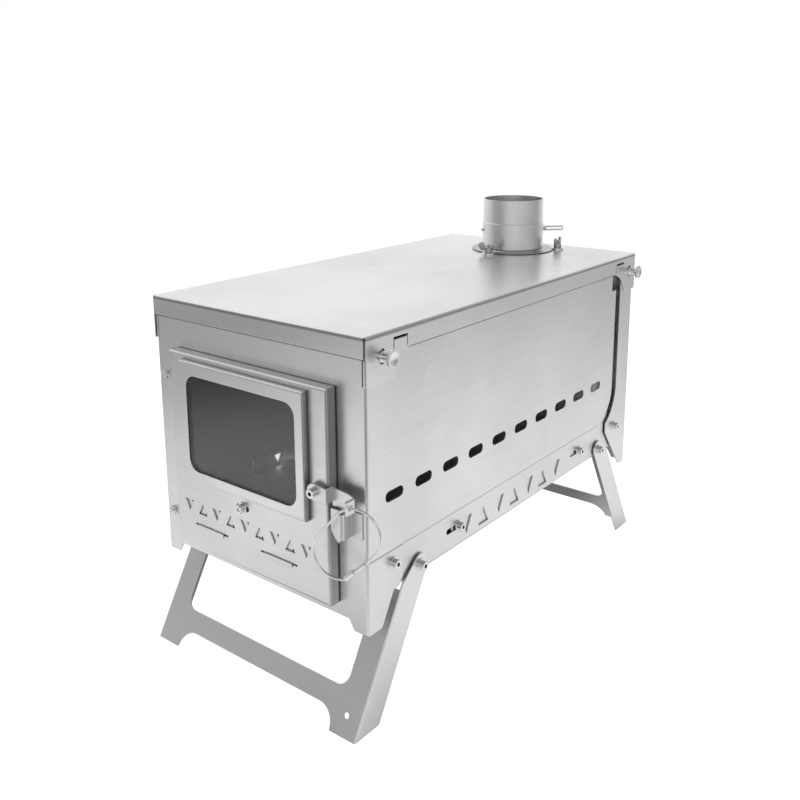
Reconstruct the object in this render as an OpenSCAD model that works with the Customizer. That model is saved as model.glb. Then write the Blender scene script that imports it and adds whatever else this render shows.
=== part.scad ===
// Folding tent stove made of bent sheet metal.
// A wrapped casing, a rear panel, a pan and a lid make the box. It stands on two folding
// leg frames and has a glazed door, sliding air shutters and a flue collar with a damper.
// X runs to the right seen from the front, -Y is the front and +Z is up. The origin lies on
// the ground under the middle of the lid.

/* [Body] */
// Width over the two side sheets
body_w = 217.4; // [200:0.1:240]
// Depth over the front panel and the rear panel
body_d = 405; // [380:1:440]
// Height of the pan's underside above the ground
floor_z = 98; // [90:1:115]
// Height of the air strip, from the pan's underside to the edge of the side sheets
strip_h = 32; // [28:1:36]
// Height from the edge of the side sheets to the top of the lid
box_h = 160; // [150:1:190]
// Thickness of every sheet
sheet_t = 1; // [0.8:0.1:1.2]
// Outside radius of the folded corners of the body
bend_r = 2.5; // [2:0.1:3]
// Outside radius of the small folds
fold_r = 1.6; // [1.4:0.1:2]

/* [Clearances] */
// Gap between the lid's skirt and the side sheets
lid_gap = 0.3; // [0.2:0.05:0.5]
// Gap between the lid's skirt and the front and rear panels
lid_end_gap = 0.5; // [0.3:0.05:0.8]
// Gap between the outer sheets and the pan's walls, filled by spacers at the bolts
wall_gap = 1.2; // [1:0.1:1.5]
// Gap between a shutter and the wall it slides along
slide_gap = 0.3; // [0.2:0.05:0.4]
// Radial clearance of a pin or thread in its bore
run_gap = 0.05; // [0.03:0.01:0.08]
// Radial clearance of a bolt in a sheet
bolt_gap = 0.2; // [0.15:0.05:0.3]
// Gap between parts that stop against each other or pass closely
touch_gap = 0.3; // [0.25:0.05:0.4]

/* [Lid] */
// Height of the lid's skirt
skirt_h = 15; // [12:0.5:18]
// Height of the four ears, from the top of the lid
ear_h = 34.5; // [32:0.5:38]
// Width of the front ears
front_ear_w = 31.5; // [28:0.5:36]
// Radius of the inner corner of the front ears
front_ear_r = 17; // [12:0.5:18]
// Width of the rear ears
rear_ear_w = 20.6; // [18:0.2:24]
// Radius of the inner corner of the rear ears
rear_ear_r = 31; // [24:0.5:32]
// Distance of the front ear screws from the front of the lid
front_screw_in = 17; // [15:0.5:19]
// Distance of the rear ear screws from the rear of the lid
rear_screw_in = 13; // [11:0.5:15]
// Distance of the ear screws below the top of the lid
ear_screw_down = 16; // [14:0.5:18]
// Height of the slots for the ear screws
ear_slot_h = 11; // [9:0.5:13]
// Distance of the skirt's tongues from the ear screws
tongue_off = 20; // [17:0.5:24]
// Distance of the tongues' upper edge below the top of the lid
tongue_down = 7.5; // [6:0.1:9]
// Width of a tongue
tongue_w = 14; // [10:0.5:16]
// Height of a tongue
tongue_h = 6.3; // [4:0.1:7]
// Width of the slit above a tongue
tongue_slit = 2; // [1.5:0.1:2.5]

/* [Side sheets] */
// Number of slots in each side sheet
slot_count = 10; // [6:1:11]
// Distance between the middles of two slots
slot_pitch = 33.79; // [28:0.01:34.5]
// Length of a slot
slot_l = 20; // [14:0.5:24]
// Height of a slot
slot_h = 8; // [5:0.5:9]
// Height of the row of slots above the edge of the side sheets
slot_up = 41.5; // [36:0.5:50]
// Distance of the row of slots in front of the middle of the side sheets
slot_fwd = 3.1; // [0:0.1:5]
// Gap between the rear edge of a side sheet and the rear panel's flange
tail_gap = 9.5; // [6:0.5:12]
// Radius of the lower rear corner of a side sheet
tail_r = 33; // [26:1:38]
// Depth of the notch at the upper rear corner of a side sheet
notch_d = 8.5; // [5:0.5:10]
// Height of the notch at the upper rear corner, from the top of the sheet
notch_h = 30; // [24:1:36]
// Width of the side flanges of the rear panel
rear_flange_w = 26.5; // [24:0.5:30]

/* [Corner tabs] */
// Width of the front tabs on the side
front_tab_w = 38.5; // [34:0.5:40]
// Width of the rear tabs on the side
rear_tab_w = 45.5; // [42:0.5:48]
// Height above the pan's underside where the edge of the rear tabs turns back
rear_tab_turn = 19.6; // [15:0.1:22]
// Width of the rear tabs at their lower edge
rear_tab_low = 12.7; // [10:0.1:18]
// Distance of the lower edge of both end panels below the pan's underside
panel_drop = 15; // [10:0.5:18]
// Distance of the tabs' lower edge below the pan's underside
tab_drop = 23; // [20:0.5:26]
// Width of the tabs on the end panels
tab_face_w = 13.2; // [10:0.2:16]
// Slant of the tabs' inner edge on the end panels
tab_slant = 5; // [3:0.5:7]
// Distance of the tab bolts from the end panels
tab_bolt_in = 27.5; // [24:0.5:30]
// Height of the tab bolts above the pan's underside
tab_bolt_up = 22; // [18:0.5:25]

/* [Air strip] */
// Number of triangles in each air strip
side_air_count = 7; // [5:2:7]
// Distance between the middles of two triangles
side_air_pitch = 23.75; // [22:0.05:24.5]
// Width of a triangle
side_air_w = 14.6; // [12:0.1:15]
// Height of a triangle
side_air_h = 14.7; // [12:0.1:15.5]
// Height of the triangles' middle above the pan's underside
side_air_up = 13.4; // [13:0.1:17]
// Distance of the middle triangle in front of the middle of the body
side_air_mid = 8.8; // [6:0.1:14]
// Travel of a side shutter from shut to open
side_travel = 14; // [12:0.5:14.5]
// How far the left shutter stands open at rest
left_open = 9; // [4:0.5:11]
// Distance of the front shutter screw from the middle triangle
front_screw_off = 82.5; // [80:0.5:90]
// Distance of the rear shutter screw from the middle triangle
rear_screw_off = 114; // [100:0.5:120]
// Height of the shutter screws above the pan's underside
side_screw_up = 17.2; // [16:0.1:20]
// Height of a side shutter
side_shutter_h = 21; // [18:0.5:22]

/* [Inside] */
// Distance of the heat shields from the outside of the side sheets
shield_in = 12.7; // [10:0.1:16]
// How far the pan's walls reach up behind the side sheets
wall_lap = 6; // [4:0.5:8]
// Height of the heat shields' foot
shield_foot = 9; // [6:0.5:9.5]
// Height of the pan's end lips
lip_h = 7; // [5:0.5:10]
// Height of the grate's top above the pan's underside
grate_up = 13; // [10:0.5:13]
// Distance of the grate from the pan's side walls
grate_side = 7.5; // [6:0.5:12]
// Distance of the grate from the end panels
grate_end = 12; // [8:0.5:20]
// Number of rows of grate slots along the firebox
grate_rows = 9; // [6:1:10]
// Number of columns of grate slots
grate_cols = 4; // [3:1:5]
// Length of a grate slot, across the firebox
grate_slot_l = 36; // [24:1:36]
// Width of a grate slot
grate_slot_w = 8; // [6:0.5:12]

/* [Legs] */
// Lean of the leg frames from the vertical, in degrees
leg_lean = 29.45; // [25:0.05:32]
// Distance of the leg pivots from the end panels
pivot_in = 59.5; // [55:0.5:64]
// Height of the leg pivots above the pan's underside
pivot_up = 7; // [6:0.5:9]
// Distance of the pivot behind the leg's face
pivot_depth = 14.9; // [13:0.1:16]
// Radius of the round end of the leg flanges
lug_r = 8.5; // [7.5:0.1:9]
// Width of a leg
leg_w = 20.7; // [18:0.1:26]
// Height of the crossbar's lower edge along the leg
bar_low = 15.2; // [14:0.2:20]
// Height of the crossbar
bar_h = 16.1; // [12:0.1:22]
// Radius above the crossbar
bar_r = 10; // [6:0.5:14]
// Radius of the arch between the feet
arch_r = 15; // [10:0.5:15]
// Width of a foot
foot_w = 24.7; // [22:0.1:30]
// Gap between the top of the legs and the pan's underside
leg_top_gap = 3.8; // [3:0.1:6]
// Radius of the hole in each foot
foot_hole_r = 2.25; // [1.8:0.05:2.6]
// Distance of the foot holes from the side of the leg
foot_hole_in = 13.7; // [12:0.1:15]
// Height of the foot holes along the leg
foot_hole_up = 14.6; // [12:0.1:16]

/* [Door] */
// Width of the front panel beside the door
door_side = 26.5; // [25.5:0.1:30]
// Distance of the door's upper edge below the top of the lid
door_down = 38; // [34:0.5:44]
// Height of the door's lower edge above the pan's underside
door_up = -5; // [-6:0.5:-2]
// Depth of the door tray
door_d = 9.7; // [9:0.1:12]
// How far the door laps the loading opening at both sides
load_side = 10.2; // [9:0.1:15]
// How far the door laps the loading opening above and below
load_end = 12.5; // [10:0.5:18]
// Distance of the window frame from the door's sides
frame_side = 17.2; // [15:0.1:20]
// Height of the window frame's lower edge above the door's
frame_up = 60.5; // [56:0.5:66]
// Distance of the window frame below the door's upper edge
frame_down = 4; // [3:0.5:8]
// How far the window frame stands in front of the door
frame_d = 5; // [4.5:0.1:6]
// Width of the frame's border beside the opening
border_side = 8; // [6:0.5:12]
// Width of the frame's border above the opening
border_top = 10; // [7:0.5:12]
// Width of the frame's border below the opening
border_low = 8; // [6:0.5:12]
// Corner radius of the window opening
view_r = 10; // [6:0.5:14]
// Thickness of the glass
glass_t = 3; // [2.6:0.1:3.2]
// How far the glass reaches under the frame's border
glass_lap = 5; // [3.5:0.5:5.5]

/* [Door air] */
// Number of triangles in the door
door_air_count = 9; // [7:2:9]
// Distance of the outer triangles' middles from the door's sides, if the row were in the middle
door_air_side = 19; // [18:0.1:24]
// Width of a triangle
door_air_w = 10; // [8:0.1:10.4]
// Height of a triangle
door_air_h = 9.6; // [8:0.1:10.4]
// Height of the triangles' middle above the door's lower edge
door_air_up = 35; // [33:0.5:38]
// Distance of the middle triangle from the middle of the door, to the left
door_air_mid = 3.3; // [2:0.1:4.5]
// Travel of the door shutter to each side
door_travel = 4.5; // [4:0.1:5]
// Distance of the shutter's holes from the door's holes at rest
door_shut = 5.7; // [4.5:0.1:6]
// Distance of the knob below the window frame
knob_down = 10.5; // [8:0.5:12]
// Distance of the knob from the middle of the door, to the left
knob_left = 4.6; // [2:0.1:8]
// Height of the tab slots above the door's lower edge
tab_slot_up = 21; // [19:0.5:23]
// Distance between the middles of the two tab slots
tab_slot_apart = 73.5; // [66:0.5:80]
// Width of a shutter tab
shutter_tab_w = 28; // [22:0.5:32]
// How far the shutter tabs hang down in front of the door
shutter_tab_h = 3; // [2:0.1:4]

/* [Hinges] */
// Distance of the hinge axis from the door's edge
hinge_out = 9.9; // [9:0.1:11]
// Distance of the hinge axis in front of the front panel
hinge_fwd = 5.5; // [5:0.1:6.5]
// Distance of the upper hinge below the door's upper edge
hinge_down = 22; // [15:1:34]
// Height of the lower hinge above the door's lower edge
hinge_low = 22; // [15:1:30]
// Radius of the hinge pins
pin_r = 1.5; // [1.2:0.1:1.8]
// Radius of the hinge lugs round the pin
hinge_lug_r = 4; // [3.5:0.1:4.2]

/* [Latch] */
// Gap between the round end of the latch arm and the window frame
latch_side = 1.4; // [1:0.1:2]
// Height of the latch pivot above the door's lower edge
latch_up = 85; // [78:0.5:90]
// Gap between the door's face and the front part of the latch arm
latch_fwd = 3; // [2.4:0.1:3.6]
// Gap between the door's side and the step of the latch arm
arm_gap = 0.9; // [0.6:0.1:1.2]
// How far the latch arm steps back at the door's edge
arm_step = 6.1; // [5:0.1:7]
// Distance of the latch arm's eye from the keeper
eye_out = 7.7; // [6.5:0.1:9]
// Distance of the eye in front of the arm's rear part
eye_fwd = 3.5; // [3.2:0.1:4]
// Half the height of the latch arm round its pivot
arm_r = 6.2; // [5.8:0.1:6.6]
// Distance of the keeper's lip in front of the front panel
keeper_out = 10.7; // [10.2:0.1:11.2]
// Distance of the keeper's upper edge below the latch pivot
keeper_down = 9; // [8.6:0.1:9.4]
// Width of the keeper's lip
keeper_lip_w = 9; // [8:0.1:10]
// Width of the keeper's foot
keeper_foot_w = 9.7; // [8:0.1:11]
// Height of the keeper's lip
keeper_h = 24; // [18:0.5:28]
// Radius of the eye's hole
eye_r = 2.2; // [1.8:0.1:2.4]

/* [Pull ring] */
// Width of the wire loop, to the middle of the wire
loop_w = 36.7; // [30:0.1:40]
// Length of the wire loop, to the middle of the wire
loop_l = 58.3; // [50:0.1:64]
// Lean of the hanging loop from the vertical, in degrees
loop_lean = 39; // [30:1:45]
// Place on the loop's upper end where it hangs in the eye, in degrees from its top
loop_hang = 12; // [5:1:20]
// Radius of the wire
wire_r = 0.9; // [0.7:0.05:1]
// Height of the wire above the keeper's lip where it hangs in the eye
wire_up = 4.5; // [4.2:0.1:5]
// Turn of the hanging loop about the vertical, in degrees
ring_yaw = 16; // [12:1:20]
// Radius of the loop's screw barrel
barrel_r = 2.3; // [1.8:0.1:2.8]

/* [Flue] */
// Radius of the flue collar below the shoulder
collar_r = 30; // [28:0.5:32]
// Radius of the spigot that the flue pipe slides over
spigot_r = 29.4; // [27.4:0.1:31.4]
// Radius of the bore of the collar
collar_bore_r = 28.5; // [26.5:0.1:30.5]
// Height of the collar above the lid
collar_h = 50.8; // [44:0.2:60]
// Length of the spigot
spigot_l = 22.8; // [18:0.2:24]
// Distance of the flue's axis from the rear panel
flue_in = 47.9; // [46:0.1:60]
// Width of the collar's flange
collar_flange = 10.4; // [9:0.1:11]
// Distance of the studs from the edge of the flange
stud_out = 4.2; // [4:0.1:5]
// Length of the studs above their washers
stud_l = 8; // [6:0.5:10]
// Height of the studs' heads below the lid
stud_head_h = 2; // [1.5:0.1:2.5]
// Radius of the large washers on the studs
stud_washer_r = 6; // [5.5:0.1:6.5]
// Height of the damper shaft above the lid
damper_up = 20; // [18:0.5:22]
// Radius of the damper shaft
shaft_r = 1.5; // [1.2:0.1:1.8]
// Gap between the damper disc and the collar
damper_gap = 0.6; // [0.4:0.1:1]
// Length of the damper handle outside the collar
handle_l = 22; // [18:0.5:26]
// Radius of the handle's wire
handle_wire_r = 0.75; // [0.6:0.05:0.9]
// Distance between the two wires of the handle
handle_apart = 3.2; // [2.8:0.1:3.6]

/* [Fasteners] */
// Radius of the screws' shank
screw_r = 2; // [1.8:0.05:2]
// Radius of the screws' cap
cap_r = 3.5; // [3.3:0.1:3.8]
// Height of the screws' cap
cap_h = 4; // [3.5:0.1:4.2]
// Radius of the washers and spacers
washer_r = 4.5; // [4.2:0.1:4.8]
// Thickness of the washers
washer_t = 0.8; // [0.6:0.1:1]
// Width of the nuts across their flats
nut_af = 7; // [6.5:0.1:7.2]
// Height of the nuts
nut_h = 3.2; // [2.8:0.1:3.4]
// Span over the wings of a wing nut or wing screw
wing_span = 20; // [18:0.5:21]
// Height of a wing nut or wing screw over its wings
wing_h = 10.5; // [9.5:0.5:11]

/* [Hidden] */

eps = 0.5;                                // overlap of a cut beyond the sheet it cuts
far = 600;                                // longer than any part

// Faces of the body
x_out = body_w/2;
x_in = x_out - sheet_t;
y_out = body_d/2;
y_in = y_out - sheet_t;
seam_z = floor_z + strip_h;
top_z = seam_z + box_h;
lid_z = top_z - sheet_t;                  // underside of the lid
sheet_top = lid_z - touch_gap;            // top of the casing and of the rear panel
wall_x = x_in - wall_gap;                 // outside of the pan's side walls
wall_in = wall_x - sheet_t;
shutter_x = wall_in - slide_gap;          // outside of a side shutter

// Lid
lid_x = x_out + lid_gap + sheet_t;
lid_y = y_out + lid_end_gap + sheet_t;
ear_screws = [front_screw_in - lid_y, lid_y - rear_screw_in];
ear_screw_z = top_z - ear_screw_down;
ear_slot_w = 2*screw_r + 2;
tongues = [ear_screws[0] + tongue_off, ear_screws[1] - tongue_off];
tongue_z = top_z - tongue_down;           // upper edge of the tongues

// Side sheets and tabs
flange_y = y_out - rear_flange_w;         // front edge of the rear panel's flange
tail_y = flange_y - tail_gap;             // rear edge of the side sheets
tab_z = floor_z - tab_drop;
panel_z = floor_z - panel_drop;
tab_bolt_y = y_out - tab_bolt_in;
tab_bolt_z = floor_z + tab_bolt_up;
corner_slit_z = top_z - ear_h + 0.5;      // the casing's corners are open above this height

// Legs
pivot_y = y_out - pivot_in;
pivot_z = floor_z + pivot_up;
foot_y = pivot_y + (pivot_depth + pivot_z*sin(leg_lean))/cos(leg_lean);
pivot_s = (foot_y - pivot_y)*sin(leg_lean) + pivot_z*cos(leg_lean);
leg_top = (floor_z - leg_top_gap)/cos(leg_lean);
flange_top = leg_top + 5;                 // where the flange leaves the fold line
tab_off = 9.5;                            // distance of the tab's slanted edge from the leg's face
nose_off = 4.4;                           // distance of the tab's nose from the leg's face
nose_up = 4.2;                            // height of the nose over the slanted edge, along the leg
// A point of the front leg's plane: s runs up along the fold line and n behind the face
function leg_point(s, n) = [-foot_y + s*sin(leg_lean) + n*cos(leg_lean),
                            s*cos(leg_lean) - n*sin(leg_lean)];

// Air strip
side_air_z = floor_z + side_air_up;
side_screw_z = floor_z + side_screw_up;
side_screws = [-side_air_mid - front_screw_off, -side_air_mid + rear_screw_off];

// Door
door_z = floor_z + door_up;
door_back = y_out + touch_gap;            // distance of the tray's rear edge from the middle
door_face = door_back + door_d;
door_w = body_w - 2*door_side;
door_h = top_z - door_down - door_z;
door_x = door_w/2;
frame_face = door_face + frame_d;
frame_w = door_w - 2*frame_side;
frame_h = door_h - frame_down - frame_up;
frame_top = door_z + door_h - frame_down;
frame_z = frame_top - frame_h/2;
view_w = frame_w - 2*border_side;
view_h = frame_h - border_top - border_low;
view_z = frame_top - border_top - view_h/2;
glass_w = view_w + 2*glass_lap;
glass_h = view_h + 2*glass_lap;
glass_face = frame_face - sheet_t;        // the glass lies against the back of the frame
glass_corner = 3;
load_w = door_w - 2*load_side;
load_h = door_h - 2*load_end;
load_z = door_z + door_h/2;
door_air_pitch = (door_w - 2*door_air_side)/(door_air_count - 1);
door_air_z = door_z + door_air_up;
door_shutter_y = door_face - sheet_t - slide_gap;
knob_z = frame_top - frame_h - knob_down;
knob_x = -knob_left;
tab_slot_z = door_z + tab_slot_up;
tab_slot_w = shutter_tab_w + 2*door_travel + 2*touch_gap;
tab_slot_h = sheet_t + 2*touch_gap;

// Hinges
hinge_x = -door_x - hinge_out;
hinge_y = y_out + hinge_fwd;
hinges = [door_z + hinge_low, door_z + door_h - hinge_down];

// Latch
latch_x = frame_w/2 + latch_side + arm_r;
latch_z = door_z + latch_up;
arm_back = door_face + latch_fwd;         // rear face of the arm's front part
arm_face = arm_back + sheet_t;
arm_end_face = arm_face - arm_step;       // front face of the arm's rear part
step_x = door_x + arm_gap + sheet_t;      // outside of the arm's step
lip_left = step_x + 1;
lip_face = y_out + keeper_out;
lip_top = latch_z - keeper_down;
keeper_right = lip_left + keeper_lip_w + sheet_t;
eye_x = keeper_right + eye_out;
eye_y = arm_end_face + eye_fwd;
wire_z = lip_top + wire_up;
eye_z = wire_z - wire_r - touch_gap + eye_r;

// Flue
flue_y = y_out - flue_in;
stud_at = collar_r + collar_flange + stud_out;
stud_dirs = [-90, 30, 150];
damper_z = top_z + damper_up;
damper_dir = 45;
nut_seat = top_z + sheet_t + washer_t;
stud_top = nut_seat + stud_l;
nut_turns = [35, 70, 15];                 // turns of the wing nuts, in the order of the studs

// ---- Helpers ----

module side(s) { if (s > 0) children(); else mirror([1, 0, 0]) children(); }
module end(s) { if (s < 0) children(); else mirror([0, 1, 0]) children(); }
module both_sides() { for (s = [-1, 1]) side(s) children(); }
module both_ends() { for (s = [-1, 1]) end(s) children(); }

// Stands the child's +Z along +X at a place on the right side
module facing_right(x, y, z) { translate([x, y, z]) rotate([0, 90, 0]) children(); }
// Stands the child's +Z along -Y at a place on the front
module facing_front(x, y, z) { translate([x, y, z]) rotate([90, 0, 0]) children(); }
// Extrudes an outline drawn in Y and Z along X, from x0 to x1
module along_x(x0, x1) { translate([x0, 0, 0]) rotate([90, 0, 90]) linear_extrude(x1 - x0) children(); }
// Extrudes an outline drawn in X and Z along Y, from y0 to y1
module along_y(y0, y1) { translate([0, y1, 0]) rotate([90, 0, 0]) linear_extrude(y1 - y0) children(); }
module disc(r) { circle(r, $fn = 64); }
module rod(r, h) { cylinder(r = r, h = h, $fn = 48); }

// Box of width w across X and depth d along +Y, whose two corners at y = d are round
module round_front(w, d, r) {
    translate([-w/2, 0]) square([w, d - r]);
    translate([-w/2 + r, 0]) square([w - 2*r, d]);
    for (s = [-1, 1]) translate([s*(w/2 - r), d - r]) disc(r);
}

// Rectangle with round corners, about its middle
module round_rect(w, h, r) {
    square([w - 2*r, h], center = true);
    square([w, h - 2*r], center = true);
    for (x = [-1, 1], y = [-1, 1]) translate([x*(w/2 - r), y*(h/2 - r)]) disc(r);
}

// Slot with round ends along X, l long in all
module slot(l, h) {
    square([l - h, h], center = true);
    for (s = [-1, 1]) translate([s*(l - h)/2, 0]) disc(h/2);
}

// Triangle with a flat top and its point below; up turns it over
module triangle(w, h, up = false) {
    k = up ? -1 : 1;
    polygon([[-w/2, k*h/2], [w/2, k*h/2], [0, -k*h/2]]);
}

// A row of triangles that point down and up by turns, about its middle
module air_row(count, pitch, w, h) {
    for (i = [0:count - 1])
        translate([(i - (count - 1)/2)*pitch, 0]) triangle(w, h, i % 2 == 1);
}

// Channel of bent sheet: a web along X and two legs along -Y, with round corners at y = d
module channel(w, d, r) {
    difference() {
        round_front(w, d, r);
        translate([0, -eps]) round_front(w - 2*sheet_t, d + eps - sheet_t, r - sheet_t);
    }
}

// Bent strip of sheet that follows the middle line through the points
module bent_strip(points) {
    for (i = [0:len(points) - 2]) {
        run = points[i + 1] - points[i];
        translate(points[i]) rotate(atan2(run[1], run[0]))
            translate([0, -sheet_t/2]) square([norm(run), sheet_t]);
    }
    for (i = [1:len(points) - 2]) translate(points[i]) circle(sheet_t/2, $fn = 32);
}

// Block pressed with round front edges: w by h, depth d along +Y from y = 0
module pressed_block(w, h, d, r) {
    intersection() {
        linear_extrude(h, center = true) round_front(w, d, r);
        rotate([0, 90, 0]) linear_extrude(w, center = true) round_front(h, d, r);
    }
}

// Tray of bent sheet, open at the back, with its face at y = d
module pressed_tray(w, h, d, r) {
    difference() {
        pressed_block(w, h, d, r);
        translate([0, -eps, 0])
            pressed_block(w - 2*sheet_t, h - 2*sheet_t, d + eps - sheet_t, r - sheet_t);
    }
}

// Cap screw: its head stands on z = 0 and its shank of length l hangs below
module cap_screw(l) {
    edge = 0.4;
    socket_af = 3;
    difference() {
        union() {
            rotate_extrude($fn = 48)
                polygon([[0, 0], [cap_r, 0], [cap_r, cap_h - edge], [cap_r - edge, cap_h], [0, cap_h]]);
            translate([0, 0, -l]) rod(screw_r, l + eps);
        }
        translate([0, 0, cap_h/2]) cylinder(r = socket_af/2/cos(30), h = cap_h, $fn = 6);
    }
}

// Hexagon nut that hangs below z = 0
module hex_nut() {
    translate([0, 0, -nut_h]) difference() {
        cylinder(r = nut_af/2/cos(30), h = nut_h, $fn = 6);
        translate([0, 0, -eps]) rod(screw_r + run_gap, nut_h + 2*eps);
    }
}

// Ring that stands on z = 0
module ring(r, bore, h) {
    difference() {
        rod(r, h);
        translate([0, 0, -eps]) rod(bore, h + 2*eps);
    }
}

// Hub with two wings, standing on z = 0
module wings() {
    hub_r = 3.8;
    hub_h = 4.6;
    tip_r = 2.9;
    wing_t = 1.8;
    cylinder(r1 = hub_r, r2 = hub_r - 0.4, h = hub_h, $fn = 48);
    rotate([90, 0, 0]) linear_extrude(wing_t, center = true)
        for (s = [-1, 1]) mirror([s > 0 ? 0 : 1, 0]) {
            translate([wing_span/2 - tip_r, wing_h - tip_r]) circle(tip_r, $fn = 32);
            polygon([[screw_r + 0.6, 0.8], [hub_r, 0.8], [wing_span/2 - 1.2, wing_h - 2*tip_r + 0.6],
                     [wing_span/2 - tip_r, wing_h], [wing_span/2 - 2*tip_r + 0.8, wing_h - 1.2],
                     [screw_r + 0.6, hub_h]]);
        }
}

// Wing nut on a stud along Z, turned about it
module wing_nut(turn) {
    rotate([0, 0, turn]) difference() {
        wings();
        translate([0, 0, -eps]) rod(screw_r + run_gap, wing_h + 2*eps);
    }
}

// Wing screw: its hub stands on z = 0 and its shank of length l hangs below
module wing_screw(turn, l) {
    rotate([0, 0, turn]) wings();
    translate([0, 0, -l]) rod(screw_r, l + eps);
}

// ---- Body ----

module lid() {
    color("gainsboro") difference() {
        union() {
            translate([0, lid_y - sheet_t, 0]) rotate([90, 0, 0])
                linear_extrude(2*(lid_y - sheet_t))
                    translate([0, top_z - ear_h]) channel(2*lid_x, ear_h, fold_r);
            translate([0, 0, top_z - skirt_h]) rotate([90, 0, 90])
                linear_extrude(2*(lid_x - 2*sheet_t), center = true)
                    channel(2*lid_y, skirt_h, fold_r);
        }
        along_x(-far, far) ear_cut();
        both_sides() for (y = ear_screws) facing_right(x_in, y, ear_screw_z)
            linear_extrude(lid_x) slot(ear_slot_h, ear_slot_w);
        along_x(-far, far) for (y = tongues) {
            tongue_gap(y);
            for (s = [-1, 1]) translate([y + s*(tongue_w/2 + 0.4), tongue_z - tongue_h/2])
                square([0.8, tongue_h + eps], center = true);
        }
        translate([0, flue_y, lid_z - eps]) rod(collar_bore_r, sheet_t + 2*eps);
        for (a = stud_dirs) translate([0, flue_y, lid_z - eps]) rotate(a)
            translate([stud_at, 0, 0]) rod(screw_r + bolt_gap, sheet_t + 2*eps);
    }
}

// The slit above a tongue, in Y and Z, with its middle at y
module tongue_gap(y) {
    translate([y - tongue_w/2 - 0.8, tongue_z]) square([tongue_w + 1.6, tongue_slit]);
}

// Everything below the skirt between a front ear and a rear ear
module ear_cut() {
    low = top_z - ear_h - eps;
    skirt_z = top_z - skirt_h;
    front = -lid_y + sheet_t + front_ear_w;
    rear = lid_y - sheet_t - rear_ear_w;
    reach = sqrt(pow(rear_ear_r, 2) - pow(rear_ear_r - ear_h + skirt_h, 2));
    translate([front, low]) square([rear - reach - front, skirt_z - front_ear_r - low]);
    translate([front + front_ear_r, low]) square([rear - reach - front - front_ear_r, skirt_z - low]);
    intersection() {
        translate([front + front_ear_r, skirt_z - front_ear_r]) disc(front_ear_r);
        translate([front - eps, skirt_z - front_ear_r - eps]) square([front_ear_r + 1, far]);
    }
    intersection() {
        translate([rear - reach, skirt_z - rear_ear_r]) disc(rear_ear_r);
        translate([rear - reach - 1, low]) square([far, far]);
    }
}

// Everything behind a front tab, in Y and Z
module front_tab_cut() {
    edge = -y_out + front_tab_w;
    polygon([[edge, seam_z], [edge, floor_z + 8], leg_point(leg_top + nose_up, -nose_off),
             leg_point(leg_top, -tab_off), leg_point(0, -tab_off), [far, 0], [far, seam_z]]);
}

// Everything in front of the slanted edge of a rear tab, in Y and Z
module rear_tab_cut() {
    edge = y_out - rear_tab_w;
    polygon([[edge, floor_z + rear_tab_turn], [y_out - rear_tab_low, tab_z],
             [y_out - rear_tab_low, tab_z - eps], [edge - eps, tab_z - eps],
             [edge - eps, floor_z + rear_tab_turn]]);
}

// Lower edge of an end panel between its tabs, in X and Z
module panel_cut() {
    inner = x_out - tab_face_w;
    polygon([[-inner, tab_z - eps], [inner, tab_z - eps], [inner, tab_z],
             [inner - tab_slant, panel_z], [-inner + tab_slant, panel_z], [-inner, tab_z]]);
}

module casing() {
    slot_y = (tail_y - y_out)/2 - slot_fwd;
    color("silver") difference() {
        translate([0, 0, tab_z]) mirror([0, 1, 0]) translate([0, -tail_y, 0])
            linear_extrude(sheet_top - tab_z) channel(body_w, y_out + tail_y, bend_r);
        along_x(-far, far) {
            front_tab_cut();
            for (y = tongues) tongue_gap(y);
            difference() {
                translate([tail_y - tail_r, seam_z - eps]) square([tail_r + eps, tail_r + eps]);
                translate([tail_y - tail_r, seam_z + tail_r]) disc(tail_r);
            }
            translate([tail_y - notch_d, lid_z - notch_h]) square([notch_d + eps, notch_h + eps]);
            for (i = [0:slot_count - 1])
                translate([slot_y + (i - (slot_count - 1)/2)*slot_pitch, seam_z + slot_up])
                    slot(slot_l, slot_h);
        }
        along_y(-far, -y_in + eps) {
            panel_cut();
            translate([0, load_z]) round_rect(load_w, load_h, 8);
        }
        both_sides() {
            translate([x_out - bend_r - 0.7, -far, corner_slit_z]) cube([far, far - y_in + 2, far]);
            facing_right(wall_x, ear_screws[0], ear_screw_z) rod(screw_r + bolt_gap, 9);
            facing_right(wall_x, -tab_bolt_y, tab_bolt_z) rod(screw_r + bolt_gap, 9);
        }
    }
}

module rear_panel() {
    color("silver") difference() {
        translate([0, y_out - rear_tab_w, tab_z])
            linear_extrude(sheet_top - tab_z) channel(body_w, rear_tab_w, bend_r);
        along_x(-far, far) {
            rear_tab_cut();
            for (y = tongues) tongue_gap(y);
            translate([y_out - rear_tab_w - eps, seam_z + tail_r])
                square([rear_tab_w - rear_flange_w + eps, far]);
            intersection() {
                translate([tail_y - tail_r, seam_z + tail_r]) disc(tail_r + tail_gap);
                translate([y_out - rear_tab_w - eps, seam_z - tail_gap]) square([far, tail_r + tail_gap + eps]);
            }
        }
        along_y(y_in - eps, far) panel_cut();
        both_sides() {
            translate([x_out - bend_r - 0.7, y_in - 2, corner_slit_z]) cube([far, far, far]);
            facing_right(wall_x, ear_screws[1], ear_screw_z) rod(screw_r + bolt_gap, 9);
            facing_right(wall_x, tab_bolt_y, tab_bolt_z) rod(screw_r + bolt_gap, 9);
        }
    }
}

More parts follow.
